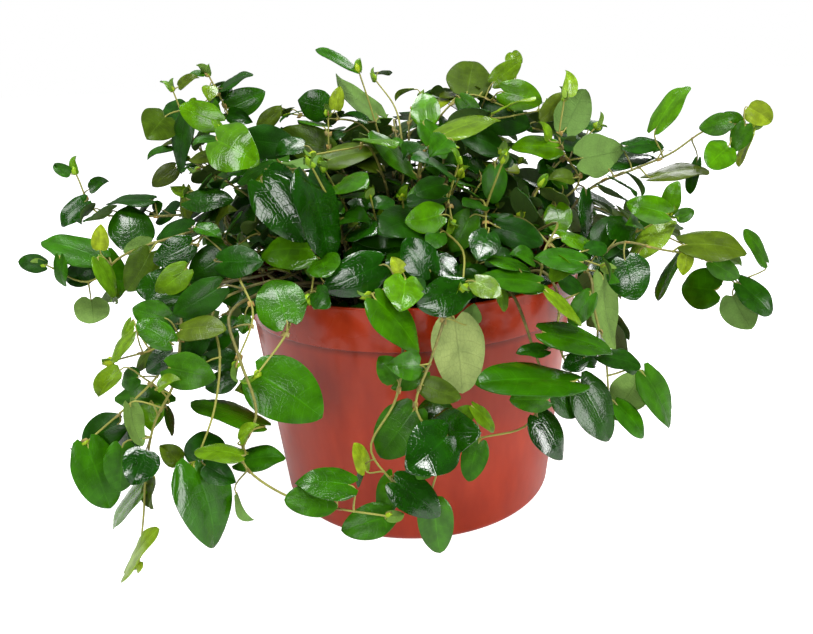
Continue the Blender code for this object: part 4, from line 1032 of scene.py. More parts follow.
def stalk_sections(leaf, swell):
    """The three corners of each section of a stalk: an elbow if it turns sharply, and its foot."""
    across = leaf.along.cross(leaf.face)
    start = leaf.base
    stops = [(leaf.foot, STALK_FOOT_SIZE)]
    if leaf.along.angle(leaf.base - leaf.foot) > SHARP_TURN:
        side = 1 if (leaf.foot - leaf.base).dot(leaf.face) > 0 else -1
        elbow = leaf.base - leaf.along * ELBOW + leaf.face * (side * ELBOW_DROP)
        stops.insert(0, (elbow, ELBOW_SIZE))
    sections = []
    for k, (stop, size) in enumerate(stops):
        run = (start - stop).normalized()
        if k + 1 < len(stops):
            run = (run + (stop - stops[k + 1][0]).normalized()).normalized()
        bend = leaf.along.rotation_difference(run)
        side = bend @ across * (size * STALK_WIDTH / 2 + swell)
        up = bend @ leaf.face * (size * BLADE_THICKNESS / 2 + swell)
        sections.append([stop + side + up, stop - side + up, stop - up])
        start = stop
    return sections


def outline_of(leaf):
    """Half the outline of a blade, with one more corner on a large leaf."""
    return LARGE_OUTLINE if leaf.length > LARGE_LEAF else SMALL_OUTLINE


def leaf_solid(leaf, swell=0.0, stalk=True):
    """The corners and faces of a blade and its three-sided stalk as one closed shape.

    The upper face has two corners at the stalk, and the lower face one."""
    rim, middle = leaf_sections(leaf, outline_of(leaf), swell)
    up = leaf.face * (BLADE_THICKNESS / 2 + swell)
    last = len(rim) - 1
    top_middle, low, low_middle = len(rim), len(rim) + 1, 2 * len(rim)
    lower = [leaf.base] + rim[1:last]
    corners = [p + up for p in rim] + [middle + up] + [p - up for p in lower] + [middle - up]
    faces = [(last, 0, top_middle)]
    for k in range(last):
        under, under_after = low + k, low + (k + 1) % last
        faces.append((k, k + 1, top_middle))
        faces.append((under_after, under, low_middle))
        faces.append((k, under, under_after))
        faces.append((k, under_after, k + 1))
    if not stalk:
        return corners, faces + [(last, low, 0)]
    root = (0, last, low)
    for section in stalk_sections(leaf, swell):
        end = (len(corners), len(corners) + 1, len(corners) + 2)
        corners += section
        for k in range(3):
            after = (k + 1) % 3
            faces.append((root[k], root[after], end[after]))
            faces.append((root[k], end[after], end[k]))
        root = end
    return corners, faces + [root]


class Room:
    """The shapes placed so far, each with its box, its tree and the vine that it is on."""

    def __init__(self):
        """An empty room."""
        self.taken = []

    def add(self, corners, faces, vine):
        """Takes up the space of a shape."""
        low = Vector([min(c[k] for c in corners) for k in range(3)])
        high = Vector([max(c[k] for c in corners) for k in range(3)])
        self.taken.append((low, high, BVHTree.FromPolygons(corners, faces), vine))

    def is_free(self, corners, faces, vine, same_vine):
        """Whether a shape misses those of the same vine, or those of the others."""
        low = Vector([min(c[k] for c in corners) for k in range(3)])
        high = Vector([max(c[k] for c in corners) for k in range(3)])
        if low.z < FLOOR_CLEARANCE:
            return False
        tree = None
        for its_low, its_high, its_tree, its_vine in self.taken:
            if (its_vine == vine) != same_vine:
                continue
            if any(its_low[k] > high[k] or low[k] > its_high[k] for k in range(3)):
                continue
            tree = tree or BVHTree.FromPolygons(corners, faces)
            if tree.overlap(its_tree):
                return False
        return True


def cone_shape(low_radius, high_radius, low, high):
    """A closed cone round the pot."""
    sides = CONE_SIDES
    corners = []
    for radius, height in ((low_radius, low), (high_radius, high)):
        for k in range(sides):
            turn = 2 * math.pi * k / sides
            corners.append(Vector((radius * math.cos(turn), radius * math.sin(turn), height)))
    faces = [tuple(range(sides)), tuple(range(sides, 2 * sides))]
    for k in range(sides):
        after = (k + 1) % sides
        faces.append((k, after, sides + after, sides + k))
    return corners, faces


def tube_shape(route, radius):
    """A tube round a route, for keeping clear of it."""
    sides = TUBE_SIDES
    corners, faces = [], []
    for k, point in enumerate(route):
        run = (route[min(k + 1, len(route) - 1)] - route[max(k - 1, 0)]).normalized()
        side = square_to(ASKEW, run)
        for s in range(sides):
            corners.append(point + turned(side, run, 2 * math.pi * s / sides) * radius)
    for k in range(len(route) - 1):
        for s in range(sides):
            t = (s + 1) % sides
            faces.append((k * sides + s, k * sides + t, (k + 1) * sides + t, (k + 1) * sides + s))
    faces += [tuple(range(sides)), tuple(range(len(corners) - sides, len(corners)))]
    return corners, faces


def pot_room():
    """Room for leaves, with only the pot in it so far."""
    room = Room()
    wall = cone_shape(BASE_RADIUS + LEAF_TO_POT, RIM_RADIUS + LEAF_TO_POT, 0, POT_HEIGHT + LEAF_TO_POT)
    room.add(*wall, "pot")
    return room


def crosses_itself(corners, faces):
    """Whether two faces of a shape that share no corner cut each other."""
    tree = BVHTree.FromPolygons(corners, faces)
    return any(not set(faces[a]) & set(faces[b]) for a, b in tree.overlap(tree))


def fits(room, leaf, vine):
    """Whether a leaf misses every other vine, and its blade misses its own."""
    if crosses_itself(*leaf_solid(leaf)):
        return False
    if not room.is_free(*leaf_solid(leaf, LEAF_CLEARANCE), vine, same_vine=False):
        return False
    return room.is_free(*leaf_solid(leaf, OWN_LEAF_CLEARANCE, stalk=False), vine, same_vine=True)


def stalked(route, base, along, face, length, breadth):
    """The leaf with its stalk run back to its stem, and clear enough of the stem to have one."""
    foot, run = nearest_on(route, base - along * (STALK_LENGTH / 2))
    short = SHORTEST_STALK - square_part(base - foot, run).length
    if short > 0:
        away = square_part(along, run) + STALK_LIFT * square_part(face, run)
        base = base + away.normalized() * short
    return Leaf(base, along, face, length, breadth, foot)


def place_seen_leaf(room, name, route, picture):
    """The leaf as it is seen, moved along the line of sight or tilted until it has room."""
    for swing in SWINGS:
        for back in SHIFTS:
            leaf = stalked(route, *pictured_leaf(*picture, back=back * MM, tilt=math.radians(swing)))
            if fits(room, leaf, name):
                return leaf
    return None


def filling_leaf(draw, place, run, side, length):
    """A leaf that a stem bears at a place, turned out from the dome of the plant."""
    outward = (place - DOME_MIDDLE).normalized()
    outward = (outward + Vector((0, 0, LOOKS_UP))).normalized()
    across = run.cross(outward).normalized() * side
    along = run * draw.uniform(*LEAF_FORWARD) + across * draw.uniform(*LEAF_SIDEWAYS)
    along = along + outward * draw.uniform(*LEAF_OUTWARD) - Vector((0, 0, draw.uniform(*LEAF_DROOP)))
    along = along.normalized()
    spread = Vector([draw.uniform(-FACE_SPREAD, FACE_SPREAD) for _ in range(3)])
    face = square_to(outward + spread, along)
    forward, aside, out = STALK_WAY
    stalk = (run * forward + across * aside + outward * out).normalized() * STALK_LENGTH
    return Leaf(place + stalk, along, face, length, length * LEAF_BREADTH, place)


def place_filling_leaves(room, name, route, draw):
    """Leaves left and right along a stem, smaller towards its tip."""
    total = sum((b - a).length for a, b in zip(route, route[1:]))
    count = int((total - FILLING_BARE) / FILLING_SPACING)
    leaves = []
    for k in range(count + 1):
        walked = FILLING_BARE + (total - FILLING_BARE - 1 * MM) * k / max(1, count)
        place, run = along_route(route, walked)
        share = k / max(1, count)
        taper = max(0, share - FILLING_TAPER) / (1 - FILLING_TAPER)
        size = FILLING_LEAF + (FILLING_TIP_LEAF - FILLING_LEAF) * taper
        for attempt in range(FILLING_TRIES):
            length = size * draw.uniform(*FILLING_SIZES) * (1 - FILLING_SHRINK * attempt)
            side = 1 if (k + attempt // FILLING_SIDE_TRIES) % 2 else -1
            leaf = filling_leaf(draw, place, run, side, length)
            if fits(room, leaf, name):
                leaves.append(leaf)
                room.add(*leaf_solid(leaf), name)
                break
    return leaves


def along_route(route, walked):
    """The point this far along a route, and the way that it runs there."""
    for a, b in zip(route, route[1:]):
        run = (b - a).length
        if walked <= run:
            return a.lerp(b, walked / run), (b - a).normalized()
        walked -= run
    return route[-1], (route[-1] - route[-2]).normalized()


def grow():
    """Every vine with the leaves that found room, and with them the tone that each is seen in."""
    routes = stem_routes()
    room = pot_room()
    for name, route in routes.items():
        room.add(*tube_shape(route, STEM_RADIUS + STEM_MARGIN), name)
    leaves = {name: [] for name in routes}
    pictures = [(picture, name, tone) for name, (_, seen_leaves, tones) in SEEN_VINES.items()
                for picture, tone in zip(seen_leaves, tones)]
    unplaced = []
    for picture, name, tone in sorted(pictures, key=lambda entry: entry[0][5]):
        leaf = place_seen_leaf(room, name, routes[name], picture)
        if leaf and leaf.length > LEAST_LEAF:
            leaves[name].append((leaf, tone))
            room.add(*leaf_solid(leaf), name)
        else:
            unplaced.append((picture, name, tone))
    draw = random.Random(FILLING_SEED)
    for name in FILLING_VINES:
        leaves[name] = [(leaf, None) for leaf in place_filling_leaves(room, name, routes[name], draw)]
    return routes, leaves, unplaced, room


# The tones of the leaves, and last that of a dry stipule
TONES = {
    "d": "#174101",
    "m": "#2a5a01",
    "b": "#447402",
    # l: the lime of young leaves, with painted light where light shines through a leaf from behind
    "l": "#567b0c",
    # o: painted shade, a dark olive for leaves that stand in shade
    "o": "#40540a",
    "g": "#123b02",
    "u": "#567a30",
    "p": "#9cab6e",
    "y": "#7c971c",
    "s": "#7b6a3c",
}
TONE_SPREAD = 0.14

# How dull the cuticle of each tone may be: 0 is the shiniest and 1 the dullest
GLOSS = {
    "g": (0, 0.1),
    "b": (0.08, 0.5),
    "l": (0.18, 0.7),
    "m": (0.28, 0.88),
    "o": (0.5, 0.9),
    "u": (0.7, 1),
    "p": (0.8, 1),
}
USUAL_GLOSS = GLOSS["m"]

# The blade forms that the leaves are drawn from, and their grids: side veins, and columns a side
MATURE_FORMS = 12
LIGHT_FORMS = 10
YOUNG_FORMS = 6
BUD_FORM = MATURE_FORMS + LIGHT_FORMS + YOUNG_FORMS
MATURE_GRID = (7, 5)
LIGHT_GRID = (5, 3)
YOUNG_GRID = (4, 3)
FORM_SEED = 23
ROW_SPREAD = 0.12
WIDEST_AT = 0.3
SHOULDER = 0.14
BLADE_RISE = 0.07
BLADE_SWEEP = 0.13
BLADE_NOTCH = 0.06
BLADE_LEAF_THICKNESS = 0.014
BLADE_SHARP_EDGE = math.radians(50)
BLADE_MAP_SCALE = 0.85
BLADE_MAP_START = 0.12
VEIN_MAP_VEINS = 8
BROADER = 1.08
LONGER = 1.04

# What grows at the tips and stays at the joints
BUD_SIDES = 6
BUD_STATIONS = (0, 0.25, 0.6)
BUD_GIRTH = (0.3, 0.5, 0.32)
BUD_LENGTH = (3.2 * MM, 5.5 * MM)
BUD_SLIMNESS = 0.28
STIPULE_LENGTH = (1.8 * MM, 3 * MM)
STIPULE_SHARE = 0.55
TIP_LEAF = (5 * MM, 8 * MM)


def half_breadth(along, bluntness):
    """Half the breadth of a heart-shaped blade at a share of its length, for a breadth of 1."""
    if along < WIDEST_AT:
        return 0.5 - SHOULDER * ((WIDEST_AT - along) / WIDEST_AT) ** 2
    return 0.5 * max(0, 1 - ((along - WIDEST_AT) / (1 - WIDEST_AT)) ** 2) ** bluntness


def blade_form(name, veins, columns, draw, young):
    """One blade, 1 long and 1 broad, with its stalk end at the origin and its tip at +Y.

    Its rows run out along the side veins, so every other row is sunk and the rest quilted."""
    bluntness = draw.uniform(0.75, 0.95) if young else draw.uniform(0.58, 0.82)
    lobes = 0.04 if young else draw.uniform(0.1, 0.19)
    dome = draw.uniform(-0.04, 0.02) if young else draw.uniform(0.02, 0.075)
    fold = draw.uniform(0.08, 0.2) if young else draw.uniform(-0.01, 0.06)
    rise = BLADE_RISE * draw.uniform(0.75, 1.15)
    twist = draw.uniform(-0.3, 0.3)
    wave = draw.uniform(0.004, 0.012) if young else draw.uniform(0.008, 0.024)
    curl = draw.uniform(-0.02, 0.07)
    bend = draw.uniform(-0.03, 0.03)
    quilt = 0.003 if young else draw.uniform(0.006, 0.011)
    phases = (draw.uniform(0, FULL_TURN), draw.uniform(0, FULL_TURN))
    shares = [math.sin(math.pi / 2 * (k / columns)) ** 0.9 for k in range(columns + 1)]
    across = [-share for share in reversed(shares[1:])] + shares
    rows = 2 * veins

    def place(u, v, row):
        """The place at u, from edge to edge, and v, from the stalk to the tip, of a row."""
        a = abs(u)
        middle = math.sin(math.pi * v)
        edge = v + (1 - v) ** 3 * BLADE_NOTCH + BLADE_SWEEP * middle
        y = v + (1 - v) ** 3 * (BLADE_NOTCH * a ** 3 - lobes * math.sin(math.pi * a ** 0.85))
        y += BLADE_SWEEP * a * middle
        x = u * half_breadth(edge, bluntness) + bend * middle
        # The blade arches along its length, falls or folds towards its edges, and is quilted
        z = rise * middle ** 0.8 - dome * a * a * (0.35 + 0.65 * middle) + fold * a * (0.3 + 0.7 * middle)
        z += (quilt if row % 2 else -quilt) * middle ** 0.5 * (0 < a < 1) - 0.9 * quilt * (a == 0) * middle
        # Its edges wave, it is twisted a little, and its tip curls under
        z += wave * a ** 3 * math.sin(phases[u > 0] + 3 * math.pi * v)
        z += x * twist * (v - 0.35) - curl * max(0, (v - 0.6) / 0.4) ** 2
        return Vector((x, y, z))

    mesh = bpy.data.meshes.new(name)
    shape = bmesh.new()
    veins_map = shape.loops.layers.uv.new("vein_map")
    blade_map = shape.loops.layers.uv.new("blade_map")
    grids = []
    for side in (0.5, -0.5):
        lift = Vector((0, 0, side * BLADE_LEAF_THICKNESS))
        grid = []
        for row in range(rows):
            share = row / rows
            v = share * (1 + ROW_SPREAD * (1 - share) * share)
            grid.append([(shape.verts.new(place(u, v, row) + lift), u, v) for u in across])
        tip = shape.verts.new(place(0, 1, rows) + lift)
        grids.append((grid, (tip, 0, 1)))

    def face(*corners, material=0, flip=False):
        """Adds a face with both maps of the blade."""
        corners = corners[::-1] if flip else corners
        made = shape.faces.new([corner[0] for corner in corners])
        made.material_index = material
        for loop, (vert, u, v) in zip(made.loops, corners):
            loop[veins_map].uv = (u / 2 + 0.5, v * veins / VEIN_MAP_VEINS)
            loop[blade_map].uv = (vert.co.x + 0.5, vert.co.y * BLADE_MAP_SCALE + BLADE_MAP_START)

    last = len(across) - 1
    for under, (grid, tip) in enumerate(grids):
        for low, high in zip(grid, grid[1:]):
            for k in range(last):
                face(low[k], low[k + 1], high[k + 1], high[k], material=under, flip=under == 1)
        for k in range(last):
            face(grid[-1][k], grid[-1][k + 1], tip, material=under, flip=under == 1)
    (top, top_tip), (low, low_tip) = grids
    loop_top = top[0] + [row[-1] for row in top[1:]] + [top_tip] + [row[0] for row in reversed(top[1:])]
    loop_low = low[0] + [row[-1] for row in low[1:]] + [low_tip] + [row[0] for row in reversed(low[1:])]
    for k in range(len(loop_top)):
        after = (k + 1) % len(loop_top)
        face(loop_low[k], loop_low[after], loop_top[after], loop_top[k])
    shape.to_mesh(mesh)
    shape.free()
    mesh.shade_smooth()
    mesh.set_sharp_from_angle(angle=BLADE_SHARP_EDGE)
    return mesh


def bud_form(name):
    """A leaf bud or a stipule: a slim pointed spindle, 1 long and 1 broad."""
    mesh = bpy.data.meshes.new(name)
    shape = bmesh.new()
    turns = [2 * math.pi * s / BUD_SIDES for s in range(BUD_SIDES)]
    rings = []
    for along, girth in zip(BUD_STATIONS, BUD_GIRTH):
        rings.append([shape.verts.new((girth * math.cos(t), along, girth * math.sin(t))) for t in turns])
    tip = shape.verts.new((0, 1, 0))
    for low, high in zip(rings, rings[1:]):
        for s in range(BUD_SIDES):
            shape.faces.new((low[s - 1], low[s], high[s], high[s - 1]))
    for s in range(BUD_SIDES):
        shape.faces.new((rings[-1][s - 1], rings[-1][s], tip))
    shape.faces.new(rings[0])
    bmesh.ops.recalc_face_normals(shape, faces=shape.faces)
    shape.to_mesh(mesh)
    shape.free()
    mesh.shade_smooth()
    return mesh


# The veins and the net, as shares of the blade's maps, and the patches and crinkles between them
RIB_WIDTH = 0.035
SIDE_VEIN_EDGE = 0.40
SIDE_VEIN_HEIGHT = 0.45
NET_CELLS = 15.0
NET_WIDTH = 0.16
MAP_SHIFT = 17.0
UNDERSIDE = "#719048"
PATCHES = 3.5
PATCH_SHADES = (0.74, 1.26)
CRINKLES = 3.6
CRINKLE_HEIGHT = 0.6
RELIEF_DEPTH = 0.25 * MM
VARNISHED_UP_TO = 0.55
VARNISH = (1.0, 0.08)
FILM_RELIEF = 0.5

# One face of a blade: its gloss at best and at worst, its relief, how pale it is, how much
# lighter or darker its veins and its net are, and how far each of them stands up
LeafFace = namedtuple(
    "LeafFace", "specular glossiest roughest relief paleness vein_shade net_shade vein_height net_height")
UPPER_FACE = LeafFace(specular=0.1, glossiest=0.12, roughest=0.45, relief=0.36, paleness=0.0,
                      vein_shade=1.32, net_shade=1.0, vein_height=-0.7, net_height=0.3)
LOWER_FACE = LeafFace(specular=0.2, glossiest=0.55, roughest=0.75, relief=0.5, paleness=0.45,
                      vein_shade=0.85, net_shade=0.9, vein_height=1.3, net_height=-0.35)


def vein_pattern(tree):
    """Height of the side veins and of the fine net between them, from the blade's own maps."""
    veins = add(tree, "ShaderNodeUVMap", uv_map="vein_map").outputs[0]
    split = add(tree, "ShaderNodeSeparateXYZ", {0: veins})
    aside = add(tree, "ShaderNodeMath", {0: split.outputs["X"], 1: 0.5}, operation="SUBTRACT").outputs[0]
    off_rib = add(tree, "ShaderNodeMath", {0: aside}, operation="ABSOLUTE").outputs[0]
    rib = add(tree, "ShaderNodeMapRange", {0: off_rib, 1: 0.0, 2: RIB_WIDTH, 3: 1.0, 4: 0.0},
              interpolation_type="SMOOTHSTEP").outputs[0]
    run = add(tree, "ShaderNodeMath", {0: split.outputs["Y"], 1: float(VEIN_MAP_VEINS)},
              operation="MULTIPLY").outputs[0]
    between = add(tree, "ShaderNodeMath", {0: run, 1: 1.0}, operation="PINGPONG").outputs[0]
    # Ping-pong over one vein falls to 0 on the even veins and rises to 1 on the odd ones
    from_even = add(tree, "ShaderNodeMath", {0: between, 1: 0.5}, operation="SUBTRACT").outputs[0]
    nearness = add(tree, "ShaderNodeMath", {0: from_even}, operation="ABSOLUTE").outputs[0]
    side = add(tree, "ShaderNodeMapRange",
               {0: nearness, 1: SIDE_VEIN_EDGE, 2: 0.5, 3: 0.0, 4: SIDE_VEIN_HEIGHT},
               interpolation_type="SMOOTHSTEP").outputs[0]
    vein = add(tree, "ShaderNodeMath", {0: rib, 1: side}, operation="MAXIMUM").outputs[0]
    flat = add(tree, "ShaderNodeUVMap", uv_map="blade_map").outputs[0]
    # Each leaf's own chance moves the map, so that no two leaves of a form are patched alike
    chance = add(tree, "ShaderNodeAttribute", attribute_name="chance").outputs["Fac"]
    shifted = add(tree, "ShaderNodeCombineXYZ", {"X": chance, "Y": chance, "Z": chance}).outputs[0]
    apart = add(tree, "ShaderNodeVectorMath", {0: shifted, "Scale": MAP_SHIFT}, operation="SCALE").outputs[0]
    own = add(tree, "ShaderNodeVectorMath", {0: flat, 1: apart}, operation="ADD").outputs[0]
    net = add(tree, "ShaderNodeTexVoronoi", {"Vector": own, "Scale": NET_CELLS}, feature="DISTANCE_TO_EDGE",
              voronoi_dimensions="2D").outputs["Distance"]
    cells = add(tree, "ShaderNodeMapRange", {0: net, 1: 0.0, 2: NET_WIDTH},
                interpolation_type="SMOOTHSTEP").outputs[0]
    return vein, cells, own, chance


def leaf_finish(name, look, varnished):
    """One face of the blade: its tone from the leaf, its veins and net in colour and in relief."""
    material, tree, shader = new_material(name, Specular_IOR_Level=look.specular, Coat_Roughness=0.07)
    vein, cells, own, chance = vein_pattern(tree)
    tone = add(tree, "ShaderNodeAttribute", attribute_name="tone").outputs["Color"]
    patches = add(tree, "ShaderNodeTexNoise", {"Vector": own, "Scale": PATCHES, "Detail": 2.0},
                  noise_dimensions="2D").outputs[0]
    darkest, lightest = PATCH_SHADES
    shade = add(tree, "ShaderNodeMapRange",
                {0: patches, 1: NOISE_LOW, 2: NOISE_HIGH, 3: darkest, 4: lightest}).outputs[0]
    mottled = add(tree, "ShaderNodeVectorMath", {0: tone, "Scale": shade}, operation="SCALE").outputs[0]
    pale = add(tree, "ShaderNodeMix", {"Factor": look.paleness, "A": mottled, "B": linear(UNDERSIDE)},
               data_type="RGBA").outputs["Result"]
    mark = add(tree, "ShaderNodeMapRange", {0: vein, 3: 1.0, 4: look.vein_shade}).outputs[0]
    veined = add(tree, "ShaderNodeVectorMath", {0: pale, "Scale": mark}, operation="SCALE").outputs[0]
    net_mark = add(tree, "ShaderNodeMapRange", {0: cells, 3: look.net_shade, 4: 1.0}).outputs[0]
    netted = add(tree, "ShaderNodeVectorMath", {0: veined, "Scale": net_mark}, operation="SCALE").outputs[0]
    rough = add(tree, "ShaderNodeMapRange", {0: chance, 3: look.glossiest, 4: look.roughest}).outputs[0]
    sunk = add(tree, "ShaderNodeMath", {0: vein, 1: look.vein_height}, operation="MULTIPLY").outputs[0]
    puffed = add(tree, "ShaderNodeMath", {0: cells, 1: look.net_height}, operation="MULTIPLY").outputs[0]
    crinkle = add(tree, "ShaderNodeTexNoise", {"Vector": own, "Scale": CRINKLES, "Detail": 2.0},
                  noise_dimensions="2D").outputs[0]
    relief = add(tree, "ShaderNodeMath", {0: sunk, 1: puffed}, operation="ADD").outputs[0]
    height = add(tree, "ShaderNodeMath", {0: crinkle, 1: CRINKLE_HEIGHT, 2: relief},
                 operation="MULTIPLY_ADD").outputs[0]
    bump = add(tree, "ShaderNodeBump",
               {"Height": height, "Strength": look.relief, "Distance": RELIEF_DEPTH}).outputs[0]
    feed(tree, shader, Base_Color=netted, Roughness=rough, Normal=bump)
    if varnished:
        thick, thin = VARNISH
        varnish = add(tree, "ShaderNodeMapRange",
                      {0: chance, 2: VARNISHED_UP_TO, 3: thick, 4: thin}).outputs[0]
        # The cuticle fills the finest dips, so its own relief is flatter
        film = add(tree, "ShaderNodeBump",
                   {"Height": height, "Strength": FILM_RELIEF * look.relief,
                    "Distance": RELIEF_DEPTH}).outputs[0]
        feed(tree, shader, Coat_Weight=varnish, Coat_Normal=film)
    return material


leaf_top = leaf_finish("glossy_leaf_cuticle", UPPER_FACE, varnished=True)
leaf_under = leaf_finish("dull_leaf_underside", LOWER_FACE, varnished=False)

BARK_OLD = "#35261a"
BARK_GREEN = "#5e5a2a"
BARK_YOUNG = "#8a8a3a"
BARK_FLECK = 1.5 * MM
BARK_SWING = 0.12
BARK_DEPTH = 0.15 * MM


def stem_bark():
    """Smooth thin bark: brown at the foot, green then yellow-green towards the tip."""
    material, tree, shader = new_material("green_and_woody_bark", Roughness=0.55, IOR=1.45)
    age = add(tree, "ShaderNodeAttribute", attribute_name="youth").outputs["Fac"]
    place = add(tree, "ShaderNodeTexCoord").outputs["Object"]
    flecks = add(tree, "ShaderNodeTexNoise", {0: place, "Scale": 1 / BARK_FLECK, "Detail": 3.0}).outputs[0]
    swing = add(tree, "ShaderNodeMapRange",
                {0: flecks, 1: NOISE_LOW, 2: NOISE_HIGH, 3: -BARK_SWING, 4: BARK_SWING}).outputs[0]
    mixed = add(tree, "ShaderNodeMath", {0: age, 1: swing}, operation="ADD").outputs[0]
    colour = ramp(tree, mixed, ((0.1, BARK_OLD), (0.45, BARK_GREEN), (0.8, BARK_YOUNG)))
    bump = add(tree, "ShaderNodeBump",
               {"Height": flecks, "Strength": 0.4, "Distance": BARK_DEPTH}).outputs[0]
    feed(tree, shader, Base_Color=colour, Normal=bump)
    return material


def forms():
    """The blades that the vines draw from: fine ones, lighter ones for the depths, young ones."""
    shelf = bpy.data.collections.new("blade_forms")
    draw = random.Random(FORM_SEED)
    kinds = [MATURE_GRID] * MATURE_FORMS + [LIGHT_GRID] * LIGHT_FORMS + [YOUNG_GRID] * YOUNG_FORMS
    for k, (veins, columns) in enumerate(kinds):
        young = k >= MATURE_FORMS + LIGHT_FORMS
        mesh = blade_form(f"form_{k:02d}", veins, columns, draw, young)
        mesh.materials.append(leaf_top)
        mesh.materials.append(leaf_under)
        shelf.objects.link(bpy.data.objects.new(mesh.name, mesh))
    bud = bud_form(f"form_{BUD_FORM:02d}")
    bud.materials.append(leaf_top)
    shelf.objects.link(bpy.data.objects.new(bud.name, bud))
    return shelf


WOOD, JOINT, LEAF = range(3)
GUIDES = ("part", "form", "girth", "turn", "size")
STEM_SIDES = 8
FINE_STEP = 3 * MM
FOOT_WIDTH = 0.8 * MM
TIP_WIDTH = 0.36 * MM
JOINT_SWELL = 1.35


def vine_tree(bark, shelf):
    """Stems and stalks swept along the plan's edges, and a blade set on each of its leaf points."""
    tree, given = new_tree("leafy_stem", Sides="NodeSocketInt", Joint="NodeSocketFloat")

    def named(name, kind="FLOAT"):
        """The plan's attribute of this name."""
        return add(tree, "GeometryNodeInputNamedAttribute", {"Name": name}, data_type=kind).outputs[0]

    def points_of(part):
        """The plan's points that stand for this part, as loose points."""
        chosen = add(tree, "FunctionNodeCompare", {"A": named("part", "INT"), "B": part}, data_type="INT",
                     operation="EQUAL").outputs[0]
        return add(tree, "GeometryNodeMeshToPoints",
                   {"Mesh": given["Geometry"], "Selection": chosen}).outputs[0]

    lines = add(tree, "GeometryNodeMeshToCurve", {0: given["Geometry"]}).outputs[0]
    ring = add(tree, "GeometryNodeCurvePrimitiveCircle",
               {"Resolution": given["Sides"], "Radius": 1.0}).outputs[0]
    swept = add(tree, "GeometryNodeCurveToMesh",
                {"Curve": lines, "Profile Curve": ring, "Scale": named("girth"),
                 "Fill Caps": True}).outputs[0]
    bead = add(tree, "GeometryNodeMeshIcoSphere", {"Radius": 1.0, "Subdivisions": 2}).outputs["Mesh"]
    swell = add(tree, "ShaderNodeMath", {0: named("girth"), 1: given["Joint"]},
                operation="MULTIPLY").outputs[0]
    beads = add(tree, "GeometryNodeInstanceOnPoints",
                {"Points": points_of(JOINT), "Instance": bead, "Scale": swell}).outputs[0]
    blades = add(tree, "GeometryNodeCollectionInfo",
                 {"Collection": shelf, "Separate Children": True}).outputs[0]
    set_blades = add(tree, "GeometryNodeInstanceOnPoints",
                     {"Points": points_of(LEAF), "Instance": blades, "Pick Instance": True,
                      "Instance Index": named("form", "INT"), "Rotation": named("turn", "QUATERNION"),
                      "Scale": named("size", "FLOAT_VECTOR")}).outputs[0]
    whole = add(tree, "GeometryNodeJoinGeometry", {0: set_blades})
    tree.links.new(beads, whole.inputs[0])
    tree.links.new(swept, whole.inputs[0])
    made = add(tree, "GeometryNodeRealizeInstances", {0: whole.outputs[0]}).outputs[0]
    woody = add(tree, "FunctionNodeCompare", {"A": named("part", "INT"), "B": LEAF}, data_type="INT",
                operation="LESS_THAN").outputs[0]
    barked = add(tree, "GeometryNodeSetMaterial",
                 {"Geometry": made, "Selection": woody, "Material": bark}).outputs[0]
    add(tree, "NodeGroupOutput", {0: barked})
    return tree


class Plan:
    """The points and edges of one vine, with what each point stands for."""

    def __init__(self):
        """An empty plan."""
        self.points = []
        self.edges = []
        self.facts = []

    def add_line(self, places, radii, youths, joints=()):
        """Adds a stem or a stalk, with its radius and youth at each place."""
        start = len(self.points)
        for k, place in enumerate(places):
            self.points.append(place)
            part = JOINT if k in joints else WOOD
            self.facts.append({"part": part, "girth": radii[k], "youth": youths[k]})
        self.edges += [(start + k, start + k + 1) for k in range(len(places) - 1)]

    def add_leaf(self, leaf, form, tone, chance, flipped=False):
        """Adds a leaf in one of the blade forms, turned over where its underside is seen."""
        face = -leaf.face if flipped else leaf.face
        across = leaf.along.cross(face)
        turn = Matrix((across, leaf.along, face)).transposed().to_quaternion()
        self.points.append(leaf.base)
        self.facts.append({"part": LEAF, "form": form, "turn": turn, "tone": tone, "chance": chance,
                           "size": (leaf.breadth * BROADER, leaf.length * LONGER, leaf.length)})

    def mesh(self, name):
        """The plan as a mesh of points and edges whose attributes hold the facts."""
        mesh = bpy.data.meshes.new(name)
        mesh.from_pydata(self.points, self.edges, [])
        kinds = {"part": ("INT", "value", 1), "form": ("INT", "value", 1), "girth": ("FLOAT", "value", 1),
                 "youth": ("FLOAT", "value", 1), "chance": ("FLOAT", "value", 1),
                 "turn": ("QUATERNION", "value", 4), "size": ("FLOAT_VECTOR", "vector", 3),
                 "tone": ("FLOAT_COLOR", "color", 4)}
        for label, (kind, field, length) in kinds.items():
            values = []
            for fact in self.facts:
                value = fact.get(label, 0)
                values += [value] if length == 1 else list(value or (1, 0, 0, 0)[:length])
            mesh.attributes.new(label, kind, "POINT").data.foreach_set(field, values)
        return mesh


def toned(tone, draw):
    """The linear colour of a leaf, a little lighter or darker, yellower or bluer than its kind."""
    red, green, blue, alpha = linear(TONES[tone])
    light = 1 + draw.uniform(-TONE_SPREAD, TONE_SPREAD)
    warm = 1 + draw.uniform(-TONE_SPREAD, TONE_SPREAD)
    return red * light * warm, green * light, blue * light / warm, alpha


